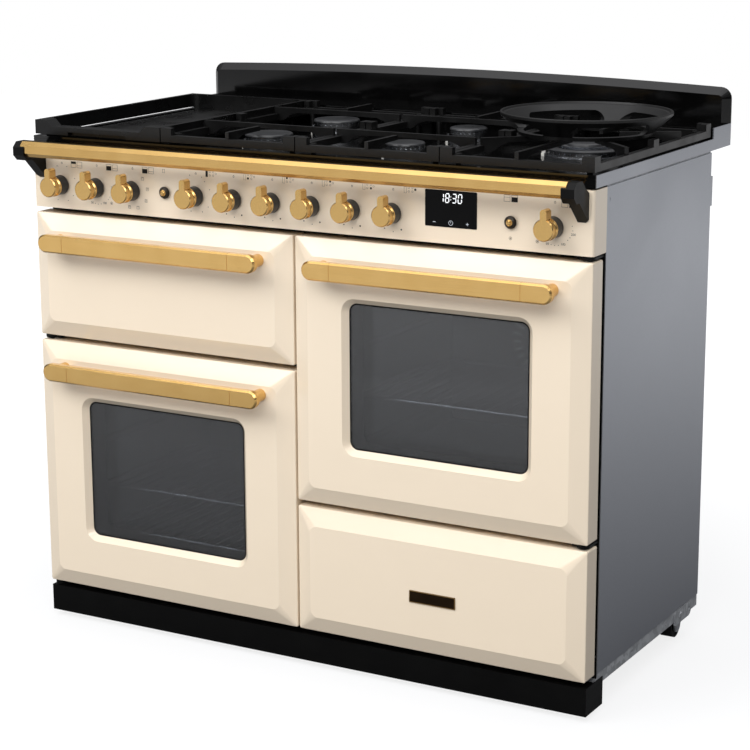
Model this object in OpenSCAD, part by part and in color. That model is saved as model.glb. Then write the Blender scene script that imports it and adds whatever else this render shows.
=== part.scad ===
// Range cooker for gas and electricity: two ovens, a grill drawer, a storage drawer
// and a hob with a griddle, four burners and a wok burner.
// X runs across, Y runs to the back and Z is up. Sizes are in millimetres.
// Places in the modules count Y from the edge of the doors, and placed() moves them
// so that the origin lies on the floor under the middle of the whole cooker.

/* [Overall] */
// Width over the side panels
body_w = 1092; // [1080:1:1120]
// Height of the hob's rim above the floor
hob_h = 905; // [900:1:930]
// Depth from the edge of the doors to the back panel
case_d = 501; // [495:1:505]
// How far the hob reaches past the back panel
hob_over = 91; // [88:1:110]
// Sheet thickness of the outer panels
sheet = 1.5; // [1:0.1:2]
// Step from the doors' edge back to the side panels
case_front = 46; // [44:1:50]

/* [Base] */
// Gap between the floor and the plinth
plinth_gap = 11; // [8:1:14]
// Top of the plinth above the floor
plinth_top = 60; // [56:1:62]
// How far the plinth's ends return to the back
plinth_return = 68; // [50:1:80]
// Height of the lower edge of the side panels
side_bottom = 72; // [70:1:80]
// Height of the lower edge of the base tray
base_bottom = 50; // [46:1:54]
// Inset of the base tray's sides from the side panels
base_inset = 1.5; // [1:0.5:4]
// Radius of a levelling foot's pad
foot_r = 17; // [14:1:22]
// Radius of a rear roller
roller_r = 22; // [18:1:24]
// Width of a rear roller
roller_w = 24; // [16:1:30]
// Radius of a roller's axle
roller_axle_r = 5; // [4:0.5:6]
// Running clearance round axles, pins and shafts
pin_clear = 0.05; // [0.03:0.01:0.08]

/* [Fronts] */
// Height of the lower edge of the fronts above the floor
front_bottom = 71; // [70:1:74]
// Height of an oven door
oven_door_h = 462; // [455:1:470]
// Gap above and below each front
front_gap = 10; // [10:1:12]
// Gap between the left and the right fronts
split_gap = 4; // [3:0.5:6]
// Place of that gap, counted from the middle
split_x = -2; // [-8:1:8]
// Inset of the fronts from the sides of the body
front_inset = 1; // [0:0.5:3]
// Depth of a front's folded edge
fold_d = 36; // [34:1:38]
// How far a front's flat field stands proud of its edge
field_rise = 14; // [10:1:16]
// Width of the slope between a front's edge and its field
field_border = 30; // [24:1:36]
// Radius of the field's corners
field_r = 14; // [8:1:20]
// Sheet thickness of a front
front_sheet = 1.5; // [1:0.1:2]
// Thickness of the liner at the back of a front
liner_t = 4.5; // [3:0.5:5]

/* [Oven windows] */
// Width of a window
window_w = 332; // [300:1:350]
// Height of a window
window_h = 252; // [230:1:270]
// Height of the window's middle above the door's lower edge
window_up = 231; // [222:1:240]
// Radius of a window's corners
window_r = 15; // [10:1:22]
// Depth of the dish round a window
window_dish = 11; // [8:1:12]
// Width of the slope of that dish
window_slope = 10; // [6:1:14]
// Thickness of a window pane
pane_t = 4; // [3:0.5:5]
// How far the panes reach past the window
pane_lap = 14; // [10:1:18]

/* [Handles] */
// Length of a handle
handle_l = 456; // [420:1:470]
// Height of a handle's bar
handle_h = 32; // [28:1:36]
// Depth of a handle's bar
handle_t = 12; // [10:1:14]
// Gap for the fingers behind the bar
finger_gap = 32; // [28:1:38]
// Chamfer round the front of a handle
handle_chamfer = 3; // [2:0.5:4]
// Distance from the top of a front down to its handle
handle_down = 46; // [40:1:52]
// Length of a handle's end piece
handle_end = 54; // [45:1:60]
// Radius of a handle's posts
post_r = 11; // [9:0.5:13]
// Distance from a handle's end to its post
post_in = 19; // [17:1:24]
// Width of the seam between a bar and its end piece
seam = 0.8; // [0.5:0.1:1.2]

/* [Door hinges] */
// Radius of a door's hinge pin
hinge_pin_r = 4; // [3:0.5:4.5]
// Distance from the door's edge and front to the pin
hinge_in = 13; // [12:0.5:14]
// Thickness of a hinge bracket
bracket_t = 4; // [3:0.5:5]

/* [Control panel] */
// Height of the control panel
panel_h = 104; // [100:1:108]
// How far its face stands proud of the doors' edge
panel_proud = 3; // [1:0.5:5]
// Height of the knobs above the panel's lower edge
knob_up = 43; // [40:1:46]
// Radius of a knob's face
knob_r = 17.5; // [15:0.5:19]
// Radius of a knob's skirt at the panel
skirt_r = 17.5; // [17:0.5:20]
// How far a knob stands out of the panel
knob_out = 44; // [40:1:48]
// Gap between a knob's skirt and the panel
knob_gap = 5; // [1:0.5:6]
// Depth of the metal part of a knob
knob_metal = 18; // [14:1:22]
// Height of a knob's finger above its middle
finger_up = 33; // [28:1:36]
// Width of a knob's finger
finger_w = 11; // [9:0.5:13]
// Radius of a knob's spindle
spindle_r = 4; // [3:0.5:5]
// Distance from the left side to the first knob
left_knob_in = 63; // [60:1:68]
// Pitch of the left group of knobs
left_knob_pitch = 77; // [72:0.5:78]
// Place of the first hob knob, counted from the middle
hob_knob_x = -196.4; // [-204:0.2:-192]
// Pitch of the hob knobs
hob_knob_pitch = 77.3; // [74:0.1:79]
// Distance from the right side to the last knob
right_knob_in = 67; // [62:1:72]
// Place of the spark button, counted from the middle
spark_x = -260; // [-266:1:-256]
// Distance from the right side to the light button
light_in = 142; // [136:1:148]
// Radius of a push button
button_r = 10.5; // [8:0.5:12]
// How far a push button stands out of the panel
button_out = 13; // [10:1:16]
// Travel of a push button
button_travel = 3; // [2:0.5:3.5]
// Distance from the right side to the display's middle
display_in = 250; // [242:1:258]
// Width of the display
display_w = 94; // [80:1:100]
// Height of the display
display_h = 60; // [50:1:62]

/* [Hand rail] */
// Height of the rail's section
rail_h = 27; // [24:1:31]
// Depth of the rail's section
rail_t = 25; // [20:1:26]
// Chamfer of the rail's section
rail_chamfer = 6.5; // [4:0.5:8]
// Front of the rail ahead of the doors' edge
rail_out = 65; // [60:1:70]
// Height of the rail's middle below the hob's rim
rail_down = 16.5; // [13:0.5:18]
// Distance from the side to the rail's free length
rail_in = 29; // [26:1:36]
// Width of a rail bracket's end piece
rail_end_w = 23; // [20:1:26]

/* [Hob] */
// Height of the hob's edge
hob_edge = 20; // [18:1:22]
// Sheet thickness of the hob
hob_sheet = 1.5; // [1:0.1:2]
// Width of the hob's raised rim
rim_w = 13; // [10:1:16]
// Depth of the hob's well under its rim
well_d = 15; // [12:1:17]
// Step from the back panel to the hob's raised ledge
ledge_step = 6; // [3:1:10]
// Height of that ledge above the rim
ledge_h = 19; // [15:1:22]
// Depth of the splashback
splash_d = 16; // [15:1:20]
// Height of the splashback's ends above the rim
splash_up = 82; // [76:1:88]
// Extra height of the splashback in the middle
splash_rise = 10; // [6:1:14]
// Chamfer round the splashback's face
splash_chamfer = 13; // [10:1:14]
// Radius of the splashback's upper corners
splash_r = 20; // [18:1:30]
// Gap between the pieces that lie on the hob
zone_gap = 2; // [1:0.5:4]

/* [Pan supports and griddle] */
// Height of the cast pieces' top above the rim
cast_up = 28; // [25:1:30]
// Height of the low bars' underside above the rim
bar_up = 4; // [3:0.5:6]
// Height of a pan support's low bars
bar_h = 12; // [10:1:14]
// Width of a cast bar
bar_w = 11; // [9:0.5:13]
// Width of a finger
tine_w = 7; // [6:0.5:9]
// Distance from a burner's middle to the finger tips
tine_reach = 34; // [32:1:40]
// Length of the raised lugs at the corners
lug_l = 22; // [16:1:28]
// Gap between the pan supports and the ledge
cast_back = 7; // [6:1:12]
// Wall of the griddle
griddle_wall = 6; // [5:0.5:8]
// Height of the griddle's front lip above the rim
griddle_lip = 17; // [14:1:20]

/* [Burners] */
// Distance from the front of the hob to the front burners
burner_front = 138; // [130:1:145]
// Distance from the front of the hob to the rear burners
burner_rear = 372; // [365:1:380]
// Distance from the front of the hob to the wok burner
wok_y = 272; // [265:1:280]
// Radius of the large burners' caps
cap_large = 42; // [38:1:46]
// Radius of the medium burners' caps
cap_medium = 33; // [28:1:36]
// Height of the caps' tops above the rim
cap_up = 13.5; // [12:0.5:15]
// Thickness of a cap
cap_t = 5; // [4:0.5:6]
// Radius of the wok burner's outer ring
wok_burner_r = 66; // [60:1:70]
// Radius of the wok ring
wok_r = 145; // [135:1:148]
// Height of the wok ring above the pan support
wok_h = 38; // [34:1:42]
// Width of an opening in the wok ring
wok_gap = 134; // [110:1:138]
// Height of the closed band at the wok ring's top
wok_band = 13; // [10:1:16]

/* [Ovens] */
// Width of an oven inside
oven_w = 410; // [395:1:420]
// Height of an oven inside
oven_h = 340; // [320:1:345]
// Depth behind an oven for its fan motor
motor_space = 53; // [46:1:60]
// Height of an oven's floor above its door's lower edge
oven_up = 52; // [48:1:60]
// Wall of an oven
oven_wall = 1.5; // [1:0.1:2]
// Number of shelf runners on each side
runner_count = 4; // [3:1:4]
// Height of the lowest runner above the oven's floor
runner_first = 34; // [30:1:40]
// Pitch of the shelf runners
runner_pitch = 86; // [70:1:88]
// Radius of the shelf runners
runner_r = 7; // [5:0.5:8]
// Radius of a shelf's wires
wire_r = 2.2; // [2:0.1:3]
// Gap between a shelf's ends and the oven's walls
shelf_play = 3; // [2.5:0.5:4]
// Number of wires across a shelf
wire_count = 15; // [9:2:21]
// Radius of an oven fan
fan_r = 75; // [65:1:80]

/* [Grill drawer] */
// Width of the grill chamber inside
grill_w = 440; // [420:1:450]
// Height of the grill chamber inside
grill_h = 150; // [140:1:155]
// Depth of the grill chamber inside
grill_d = 390; // [380:1:400]
// Height of the chamber's floor above the front's lower edge
grill_up = 38; // [34:1:44]
// Wall of the grill pan
pan_wall = 1.5; // [1.2:0.1:2]
// Height of the grill pan
pan_h = 38; // [30:1:40]

/* [Storage drawer] */
// Room for the rails beside the drawer's box
box_side = 37.5; // [33:0.5:45]
// Height of the drawer's box
box_h = 150; // [120:1:170]
// Depth of the drawer's box
box_d = 400; // [380:1:410]
// Wall of the drawer's box
box_wall = 1.5; // [1.2:0.1:2.5]
// Clearance beside the slides
slide_clear = 0.5; // [0.4:0.1:1]

/* [Hidden] */
$fn = 48;
eps = 0.01;
cream = [0.94, 0.88, 0.79];
brass = [0.78, 0.63, 0.38];
iron = [0.08, 0.08, 0.085];
half_w = body_w / 2;
front_half = half_w - front_inset;
hob_d = case_d + hob_over;
front_reach = rail_out + 2;
mid_y = (hob_d - front_reach) / 2;

// heights, from the floor up
hob_bottom = hob_h - hob_edge;
case_top = hob_bottom - 3;
panel_bottom = case_top - panel_h;
fronts_top = panel_bottom - front_gap;
short_front_h = fronts_top - front_bottom - oven_door_h - front_gap;
left_oven_z = front_bottom;
grill_z = front_bottom + oven_door_h + front_gap;
drawer_z = front_bottom;
right_oven_z = front_bottom + short_front_h + front_gap;

// the two columns
left_x0 = -front_half;
left_x1 = split_x - split_gap / 2;
right_x0 = split_x + split_gap / 2;
right_x1 = front_half;
left_mid = (left_x0 + left_x1) / 2;
right_mid = (right_x0 + right_x1) / 2;

// what stands behind the fronts
liner_y = fold_d + 0.3;
front_back = liner_y + liner_t;
seal_clear = 0.5;
frame_y = case_front;
frame_t = 2;
cavity_y = frame_y + frame_t;
pane_y = window_dish - field_rise;
oven_d = case_d - cavity_y - motor_space;
box_w = right_x1 - right_x0 - 2 * box_side;

// the control panel
panel_y = -panel_proud;
knob_z = panel_bottom + knob_up;
display_z = case_top - 17 - display_h / 2;
display_x = half_w - display_in;
button_x = [spark_x, half_w - light_in];
button_z = knob_z + 1.5;
left_knobs = [for (i = [0:2]) left_knob_in - half_w + i * left_knob_pitch];
hob_knobs = [for (i = [0:5]) hob_knob_x + i * hob_knob_pitch];
right_knob_x = half_w - right_knob_in;
knob_xs = concat(left_knobs, hob_knobs, [right_knob_x]);

// the rail
rail_half = half_w - rail_in;
rail_z = hob_h - rail_down;
rail_mid_y = -rail_out + rail_t / 2;

// the hob's four equal zones
zone_w = (body_w - 4) / 4;
zone_x = [for (i = [0:3]) -half_w + 2 + (i + 0.5) * zone_w];
cast_w = zone_w - zone_gap;
cast_y0 = 2;
ledge_y = case_d + ledge_step;
cast_d = ledge_y - cast_y0 - cast_back;
cast_top = hob_h + cast_up;
bar_z = hob_h + bar_up;
well_z = hob_h - well_d;
splash_y = hob_d - splash_d;
cap_z = hob_h + cap_up;
burner_spots = [
    [zone_x[1], burner_front, cap_large],
    [zone_x[1], burner_rear, cap_large],
    [zone_x[2], burner_front, cap_medium],
    [zone_x[2], burner_rear, cap_medium]
];

// the base
roller_y = case_d - 48;
roller_x = half_w - 34;
foot_y = 105;
foot_x = half_w - 60;
axle_z = roller_r;

// ---- helpers

module placed() {
    translate([0, -mid_y, 0])
        children();
}

// a box from its lowest to its highest corner
module box(a, b) {
    translate(a)
        cube([b[0] - a[0], b[1] - a[1], b[2] - a[2]]);
}

// a rectangle with round corners, round its middle
module round_rect(w, h, r) {
    offset(r = r, $fn = 32)
        square([w - 2 * r, h - 2 * r], center = true);
}

// a plate in X and Z with round corners, from y0 back to y1
module plate(cx, cz, w, h, r, y0, y1) {
    translate([cx, y1, cz])
        rotate([90, 0, 0])
            linear_extrude(y1 - y0)
                round_rect(w, h, r);
}

// a round bar from y0 back to y1
module rod_y(x, z, r, y0, y1) {
    translate([x, y1, z])
        rotate([90, 0, 0])
            cylinder(h = y1 - y0, r = r);
}

// a round bar from x0 across to x1
module rod_x(y, z, r, x0, x1) {
    translate([x0, y, z])
        rotate([0, 90, 0])
            cylinder(h = x1 - x0, r = r);
}

// a box on side s of cx, between the distances a and b from it
module side_box(cx, s, a, b, y0, y1, z0, z1) {
    box([cx + min(s * a, s * b), y0, z0], [cx + max(s * a, s * b), y1, z1]);
}

module both_sides() {
    children();
    mirror([1, 0, 0])
        children();
}

// ---- base

module base_tray() {
    x = half_w - base_inset;
    y0 = cavity_y + 0.2;
    color("gainsboro")
        placed() {
            difference() {
                box([-x, y0, base_bottom], [x, case_d, side_bottom]);
                box([-x + sheet, y0 + sheet, base_bottom + sheet],
                    [x - sheet, case_d - sheet, side_bottom + 1]);
                for (s = [-1, 1], y = [y0 + tray_hole_in, case_d - tray_hole_in])
                    rod_x(y, (base_bottom + side_bottom) / 2, 2.5, s * x - 4, s * x + 4);
            }
            both_sides() {
                roller_bracket();
                levelling_foot();
            }
        }
}

tray_hole_in = 150;

// two cheeks and the axle of a rear roller, with the plate that shows at the side
module roller_bracket() {
    cheek = 3;
    inner = roller_w / 2 + 1;
    for (s = [-1, 1])
        difference() {
            hull() {
                x0 = roller_x + s * (inner + cheek / 2) - cheek / 2;
                rod_x(roller_y, axle_z + 1, 13, x0, x0 + cheek);
                box([x0, roller_y - 24, base_bottom], [x0 + cheek, roller_y + 24,
                    base_bottom + sheet]);
            }
            rod_x(roller_y, axle_z, roller_axle_r, roller_x - 40, roller_x + 40);
        }
    rod_x(roller_y, axle_z, roller_axle_r, roller_x - inner - cheek, roller_x + inner + cheek);
    side_plate_y = [roller_y - 60, roller_y + 4];
    plate_x = half_w - base_inset;
    plate_z = (base_bottom + side_bottom) / 2 - 4;
    difference() {
        union() {
            box([plate_x - 1, side_plate_y[0], plate_z - 14],
                [plate_x + 1.5, side_plate_y[1], plate_z + 14]);
            rod_x(side_plate_y[1], plate_z, 14, plate_x - 1, plate_x + 1.5);
        }
        rod_x(side_plate_y[1] + 3, plate_z, 4, plate_x - 5, plate_x + 5);
    }
    translate([plate_x + 1.5, side_plate_y[0] + 26, plate_z])
        rotate([0, 90, 0])
            cylinder(h = base_inset - 0.2, r = 6, $fn = 6);
}

// a threaded stud with a round pad
module levelling_foot() {
    translate([foot_x, foot_y, 0]) {
        cylinder(h = 5, r = foot_r);
        translate([0, 0, 5])
            cylinder(h = 5, r1 = foot_r, r2 = 9);
        translate([0, 0, 10])
            cylinder(h = base_bottom - 10 + sheet + 12, r = 5);
        translate([0, 0, base_bottom - 8])
            cylinder(h = 8, r = 10, $fn = 6);
    }
}

module plinth() {
    y0 = 2;
    color([0.07, 0.07, 0.08])
        placed()
            difference() {
                box([-half_w, y0, plinth_gap], [half_w, y0 + plinth_return, plinth_top]);
                box([-half_w + sheet, y0 + sheet, plinth_gap - 1],
                    [half_w - sheet, y0 + plinth_return + 1, plinth_top - sheet]);
                box([-half_w + sheet, fold_d, plinth_top - 3],
                    [half_w - sheet, y0 + plinth_return + 1, plinth_top + 1]);
            }
}

module roller_shape() {
    difference() {
        rod_x(roller_y, axle_z, roller_r, roller_x - roller_w / 2, roller_x + roller_w / 2);
        rod_x(roller_y, axle_z, roller_axle_r + pin_clear, roller_x - roller_w, roller_x + roller_w);
        for (s = [-1, 1])
            translate([roller_x + s * roller_w / 2, roller_y, axle_z])
                rotate([0, 90, 0])
                    rotate_extrude()
                        translate([(roller_r + roller_axle_r) / 2 + 1, 0])
                            square([roller_r - roller_axle_r - 8, 5], center = true);
    }
}

module rear_roller_left() {
    color([0.2, 0.2, 0.21])
        placed()
            mirror([1, 0, 0])
                roller_shape();
}

module rear_roller_right() {
    color([0.2, 0.2, 0.21])
        placed()
            roller_shape();
}

// ---- outer case

screw_z = [side_bottom + 26, case_top - 21];
spacer_z = case_top - 94;

module side_panel_shape() {
    difference() {
        union() {
            box([half_w - sheet, case_front, side_bottom], [half_w, case_d, case_top]);
            box([half_w - 14, case_d - sheet, side_bottom], [half_w, case_d, case_top]);
            // spacer that keeps the case off the wall
            box([half_w - 14, case_d - sheet, spacer_z], [half_w, case_d + 8, spacer_z + 52]);
        }
        for (z = screw_z)
            rod_x(case_front + 10, z, 3.2, half_w - 4, half_w + 1);
    }
    for (z = screw_z)
        rod_x(case_front + 10, z, 3, half_w - sheet - 8, half_w - 0.4);
}

module side_panel_left() {
    color([0.55, 0.57, 0.61])
        placed()
            mirror([1, 0, 0])
                side_panel_shape();
}

module side_panel_right() {
    color([0.55, 0.57, 0.61])
        placed()
            side_panel_shape();
}

module back_panel() {
    x = half_w - 14.3;
    slot_pitch = 16;
    color([0.72, 0.73, 0.75])
        placed()
            difference() {
                box([-x, case_d - sheet, side_bottom], [x, case_d, case_top]);
                for (cx = [left_mid, right_mid], row = [0:7])
                    plate(cx, case_top - 242 + row * slot_pitch, 180, 5, 2.4, case_d - 5, case_d + 5);
                rod_y(gas_x, gas_z, gas_r + 1, case_d - 5, case_d + 5);
                for (sx = [-1, 1], z = [side_bottom + 20, case_top - 20])
                    rod_y(sx * (x - 8), z, 2.2, case_d - 5, case_d + 5);
            }
}

gas_in = 130;
gas_x = half_w - gas_in;
gas_z = case_top - 282;
gas_r = 8;
gas_pipe_r = gas_r + 2.5;
gas_y = case_d + 26;
gas_neck = 20;
gas_thread = 24;
terminal_in = 190;
terminal_x = terminal_in - half_w;

// gas inlet elbow with its threaded end, and the mains terminal box
module service_inlets() {
    box_z = case_top - 552;
    color([0.75, 0.66, 0.42])
        placed() {
            difference() {
                union() {
                    rod_y(gas_x, gas_z, gas_r, case_d - 30, gas_y);
                    rod_y(gas_x, gas_z, gas_r + 5, case_d + 0.2, case_d + 8);
                    translate([gas_x, gas_y, gas_z - gas_neck])
                        cylinder(h = gas_neck + 12, r = gas_pipe_r + 1.5);
                    translate([gas_x, gas_y, gas_z - gas_neck - gas_thread])
                        cylinder(h = gas_thread, r = gas_pipe_r);
                }
                translate([gas_x, gas_y, gas_z - gas_neck - gas_thread - 1])
                    cylinder(h = gas_neck + gas_thread + 1, r = gas_r - 2);
            }
            difference() {
                plate(terminal_x, box_z, 110, 90, 6, case_d + 0.2, case_d + 32);
                for (s = [-1, 1])
                    rod_y(terminal_x + s * 38, box_z + 28, 3, case_d + 20, case_d + 40);
            }
            difference() {
                translate([terminal_x, case_d + 16, box_z - 45 - 14])
                    cylinder(h = 14.2, r = 11);
                translate([terminal_x, case_d + 16, box_z - 45 - 16])
                    cylinder(h = 15, r = 6.5);
            }
        }
}

// ---- chassis

mouth_r = 4;

module mouth(cx, z0, w, h) {
    plate(cx, z0 + h / 2, w, h, mouth_r, frame_y - 5, frame_y + 10);
}

frame_half = half_w - sheet - 0.2;

// the plate behind the fronts with its mouths, and the door hinges' brackets
module front_frame() {
    x = frame_half;
    color([0.1, 0.1, 0.11])
        placed() {
            difference() {
                box([-x, frame_y, front_bottom - 8], [x, frame_y + frame_t, case_top]);
                mouth(left_mid, left_oven_z + oven_up, oven_w, oven_h);
                mouth(right_mid, right_oven_z + oven_up, oven_w, oven_h);
                mouth(left_mid, grill_z + grill_up, grill_w, grill_h);
                box([right_mid - box_w / 2 - 12, frame_y - 5, drawer_z + 12],
                    [right_mid + box_w / 2 + 12, frame_y + 10, drawer_z + short_front_h - 14]);
                for (z = screw_z, s = [-1, 1])
                    box([s * x - 14, frame_y - 1, z - 5], [s * x + 14, frame_y + 10, z + 5]);
            }
            hinge_brackets();
        }
}

// the plate between the columns, the storage drawer's ceiling and the rails
module chassis_rails() {
    divider_t = 3;
    ceiling_z = right_oven_z + 18;
    rear_y = case_d - sheet - 0.3;
    color([0.35, 0.36, 0.38])
        placed() {
            box([split_x - divider_t / 2, cavity_y, side_bottom + 0.3],
                [split_x + divider_t / 2, rear_y, case_top - 30]);
            box([split_x + divider_t / 2, cavity_y, ceiling_z],
                [frame_half - 14, rear_y, ceiling_z + sheet]);
            drawer_rails(ceiling_z);
            // rails that carry the hob
            both_sides()
                box([frame_half - 14, cavity_y, case_top - 14],
                    [frame_half, rear_y, hob_bottom - 0.2]);
        }
}

rail_slot_z = drawer_z + 70;

// fixed rails of the storage drawer
module drawer_rails(ceiling_z) {
    for (s = [-1, 1]) {
        a = box_w / 2 + slide_clear;
        b = box_w / 2 + 15;
        y1 = frame_y + box_d;
        difference() {
            side_box(right_mid, s, a, b, cavity_y, y1, rail_slot_z - 12, rail_slot_z + 12);
            side_box(right_mid, s, a - eps, a + 9, frame_y, y1 + 1, rail_slot_z - 7, rail_slot_z + 7);
        }
        side_box(right_mid, s, b - 2, b, cavity_y, y1, rail_slot_z - 12, ceiling_z + 1);
    }
}

module oven_shell(cx, z0) {
    w = oven_w + 2 * oven_wall;
    h = oven_h + 2 * oven_wall;
    zc = z0 + oven_h / 2;
    back = cavity_y + oven_d;
    difference() {
        union() {
            plate(cx, zc, w, h, 12, cavity_y, back + oven_wall);
            plate(cx, zc, w + 40, h + 40, 20, cavity_y, cavity_y + oven_wall);
        }
        plate(cx, zc, oven_w, oven_h, 10.5, cavity_y - 1, back);
        rod_y(cx, zc, 12, back - 1, back + 5);
        rod_y(cx + lamp_x, zc + lamp_up, 25, back - 1, back + 5);
    }
    for (s = [-1, 1], i = [0:runner_count - 1])
        intersection() {
            rod_y(cx + s * (oven_w / 2 + runner_back), runner_z(z0, i), runner_r,
                  cavity_y + 22, back - 60);
            plate(cx, zc, w - 0.5, h, 12, cavity_y, back);
        }
    difference() {
        rod_y(cx + lamp_x, zc + lamp_up, 25, back - 8, back + 4);
        rod_y(cx + lamp_x, zc + lamp_up, 20, back - 5, back + 5);
    }
}

runner_back = 2;
lamp_x = 155;
lamp_up = 128;

// height of a pair of shelf runners, counted from the oven's floor
function runner_z(z0, i) = z0 + runner_first + i * runner_pitch;

module oven_cavities() {
    color([0.16, 0.17, 0.19])
        placed() {
            oven_shell(left_mid, left_oven_z + oven_up);
            oven_shell(right_mid, right_oven_z + oven_up);
        }
}

grill_floor = grill_z + grill_up;
carriage_z = grill_floor + 38;

module grill_chamber() {
    w = grill_w + 2 * oven_wall;
    h = grill_h + 2 * oven_wall;
    zc = grill_floor + grill_h / 2;
    back = cavity_y + grill_d;
    color([0.16, 0.17, 0.19])
        placed() {
            difference() {
                union() {
                    plate(left_mid, zc, w, h, 12, cavity_y, back + oven_wall);
                    plate(left_mid, zc, w + 36, h + 36, 18, cavity_y, cavity_y + oven_wall);
                }
                plate(left_mid, zc, grill_w, grill_h, 10.5, cavity_y - 1, back);
            }
            for (s = [-1, 1])
                grill_rail(s);
        }
}

// fixed rail of the grill drawer, a channel that is open towards the middle
module grill_rail(s) {
    w = grill_w / 2;
    y1 = cavity_y + grill_d;
    difference() {
        side_box(left_mid, s, w - 14, w, cavity_y + 3, y1 - 6, carriage_z - 11, carriage_z + 11);
        side_box(left_mid, s, w - 15, w - 3, cavity_y - 2, y1, carriage_z - 7, carriage_z + 7);
    }
}

module seal_ring(cx, zc, w, h) {
    y0 = front_back + seal_clear;
    difference() {
        plate(cx, zc, w + 22, h + 22, 20, y0, frame_y);
        plate(cx, zc, w + 4, h + 4, 12, y0 - 1, frame_y + 1);
    }
}

module door_seals() {
    color([0.2, 0.2, 0.2])
        placed() {
            seal_ring(left_mid, left_oven_z + oven_up + oven_h / 2, oven_w, oven_h);
            seal_ring(right_mid, right_oven_z + oven_up + oven_h / 2, oven_w, oven_h);
        }
}

// two of these hold a door's pins
module hinge_bracket(s, z, edge) {
    px = edge - s * hinge_in;
    difference() {
        union() {
            side_box(edge, -s, 2, 34, hinge_in, frame_y, z - bracket_t / 2, z + bracket_t / 2);
            translate([px, hinge_in, z - bracket_t / 2])
                cylinder(h = bracket_t, r = hinge_in - 2);
            side_box(edge, -s, 2, 34, frame_y - 2, frame_y, z - 4, z + 4);
        }
        translate([px, hinge_in, z - 10])
            cylinder(h = 20, r = hinge_pin_r + pin_clear);
    }
}

hinge_low_left = left_oven_z - front_gap / 2 - 0.5;
hinge_high_left = left_oven_z + oven_door_h + front_gap / 2;
hinge_low_right = right_oven_z - front_gap / 2;
hinge_high_right = right_oven_z + oven_door_h + front_gap / 2;

module hinge_brackets() {
    hinge_bracket(-1, hinge_low_left, left_x0);
    hinge_bracket(-1, hinge_high_left, left_x0);
    hinge_bracket(1, hinge_low_right, right_x1);
    hinge_bracket(1, hinge_high_right, right_x1);
}

// ---- oven fittings

function oven_back() = cavity_y + oven_d;

cover_w = 230;
cover_d = 34;

module fan_cover_shape(cx, z0) {
    zc = z0 + oven_h / 2;
    y1 = oven_back() - cover_d;
    difference() {
        plate(cx, zc, cover_w, cover_w, 30, y1, oven_back());
        plate(cx, zc, cover_w - 3, cover_w - 3, 28.5, y1 + 1.5, oven_back() + 1);
        for (i = [0:23])
            rotate_round(cx, zc, i * 15)
                translate([cx + 46, y1 - 2, zc - 2])
                    cube([26, 6, 4]);
        rod_y(cx, zc, 5, y1 - 2, y1 + 5);
        for (s = [-1, 1])
            box([cx + s * cover_w / 2 - 4, y1 + 12, zc - 60],
                [cx + s * cover_w / 2 + 4, oven_back() - 8, zc + 60]);
    }
}

// turns its children round an axis along Y
module rotate_round(cx, zc, a) {
    translate([cx, 0, zc])
        rotate([0, a, 0])
            translate([-cx, 0, -zc])
                children();
}

module fan_covers() {
    color([0.14, 0.15, 0.17])
        placed() {
            fan_cover_shape(left_mid, left_oven_z + oven_up);
            fan_cover_shape(right_mid, right_oven_z + oven_up);
        }
}

module fan_shape(cx, z0) {
    zc = z0 + oven_h / 2;
    y1 = oven_back() - 8;
    rod_y(cx, zc, fan_r, y1 - 1.2, y1);
    rod_y(cx, zc, 10, y1 - blade_d, y1);
    rod_y(cx, zc, 4, y1 - 1, oven_back() + 24);
    for (i = [0:11])
        rotate_round(cx, zc, i * 30)
            translate([cx + fan_r - 31, y1 - blade_d, zc - 0.8])
                rotate([0, 12, 0])
                    cube([27, blade_d - 0.5, 1.6]);
}

blade_d = 18;

module fan_left() {
    color([0.7, 0.71, 0.73])
        placed()
            fan_shape(left_mid, left_oven_z + oven_up);
}

module fan_right() {
    color([0.7, 0.71, 0.73])
        placed()
            fan_shape(right_mid, right_oven_z + oven_up);
}

module fan_motor_shape(cx, z0) {
    zc = z0 + oven_h / 2;
    y0 = oven_back() + oven_wall;
    difference() {
        union() {
            rod_y(cx, zc, 34, y0 + 4, case_d - sheet - 4);
            rod_y(cx, zc, 11, y0, y0 + 6);
            plate(cx, zc, 120, 24, 8, y0, y0 + 2);
        }
        rod_y(cx, zc, 4 + pin_clear, y0 - 1, y0 + 24);
    }
}

module fan_motors() {
    color([0.5, 0.51, 0.53])
        placed() {
            fan_motor_shape(left_mid, left_oven_z + oven_up);
            fan_motor_shape(right_mid, right_oven_z + oven_up);
        }
}

module ring_element(cx, z0) {
    zc = z0 + oven_h / 2;
    ring_r = cover_w / 2 - 23;
    for (y = [oven_back() - 13, oven_back() - 23])
        translate([cx, y, zc])
            rotate([90, 0, 0])
                rotate_extrude()
                    translate([ring_r, 0])
                        circle(r = element_r, $fn = 32);
    for (s = [-1, 1])
        rod_y(cx + s * 12, zc + ring_r, element_r + 2, oven_back() - 28, oven_back());
}

element_r = 3.2;

// the grill's element: long loops under the roof of the chamber
module grill_element() {
    z = grill_floor + grill_h - 16;
    y0 = cavity_y + 50;
    y1 = cavity_y + grill_d - 60;
    pitch = 46;
    for (i = [-4:4])
        rod_y(left_mid + i * pitch, z, element_r, y0 - 0.5,
              abs(i) == 4 ? cavity_y + grill_d : y1 + 0.5);
    for (i = [-4:3])
        translate([left_mid + (i + 0.5) * pitch, i % 2 == 0 ? y0 : y1, z])
            rotate([0, 0, i % 2 == 0 ? 180 : 0])
                rotate_extrude(angle = 180)
                    translate([pitch / 2, 0])
                        circle(r = element_r + 0.2, $fn = 32);
}

module heating_elements() {
    color([0.32, 0.31, 0.31])
        placed() {
            ring_element(left_mid, left_oven_z + oven_up);
            ring_element(right_mid, right_oven_z + oven_up);
            grill_element();
        }
}

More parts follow.
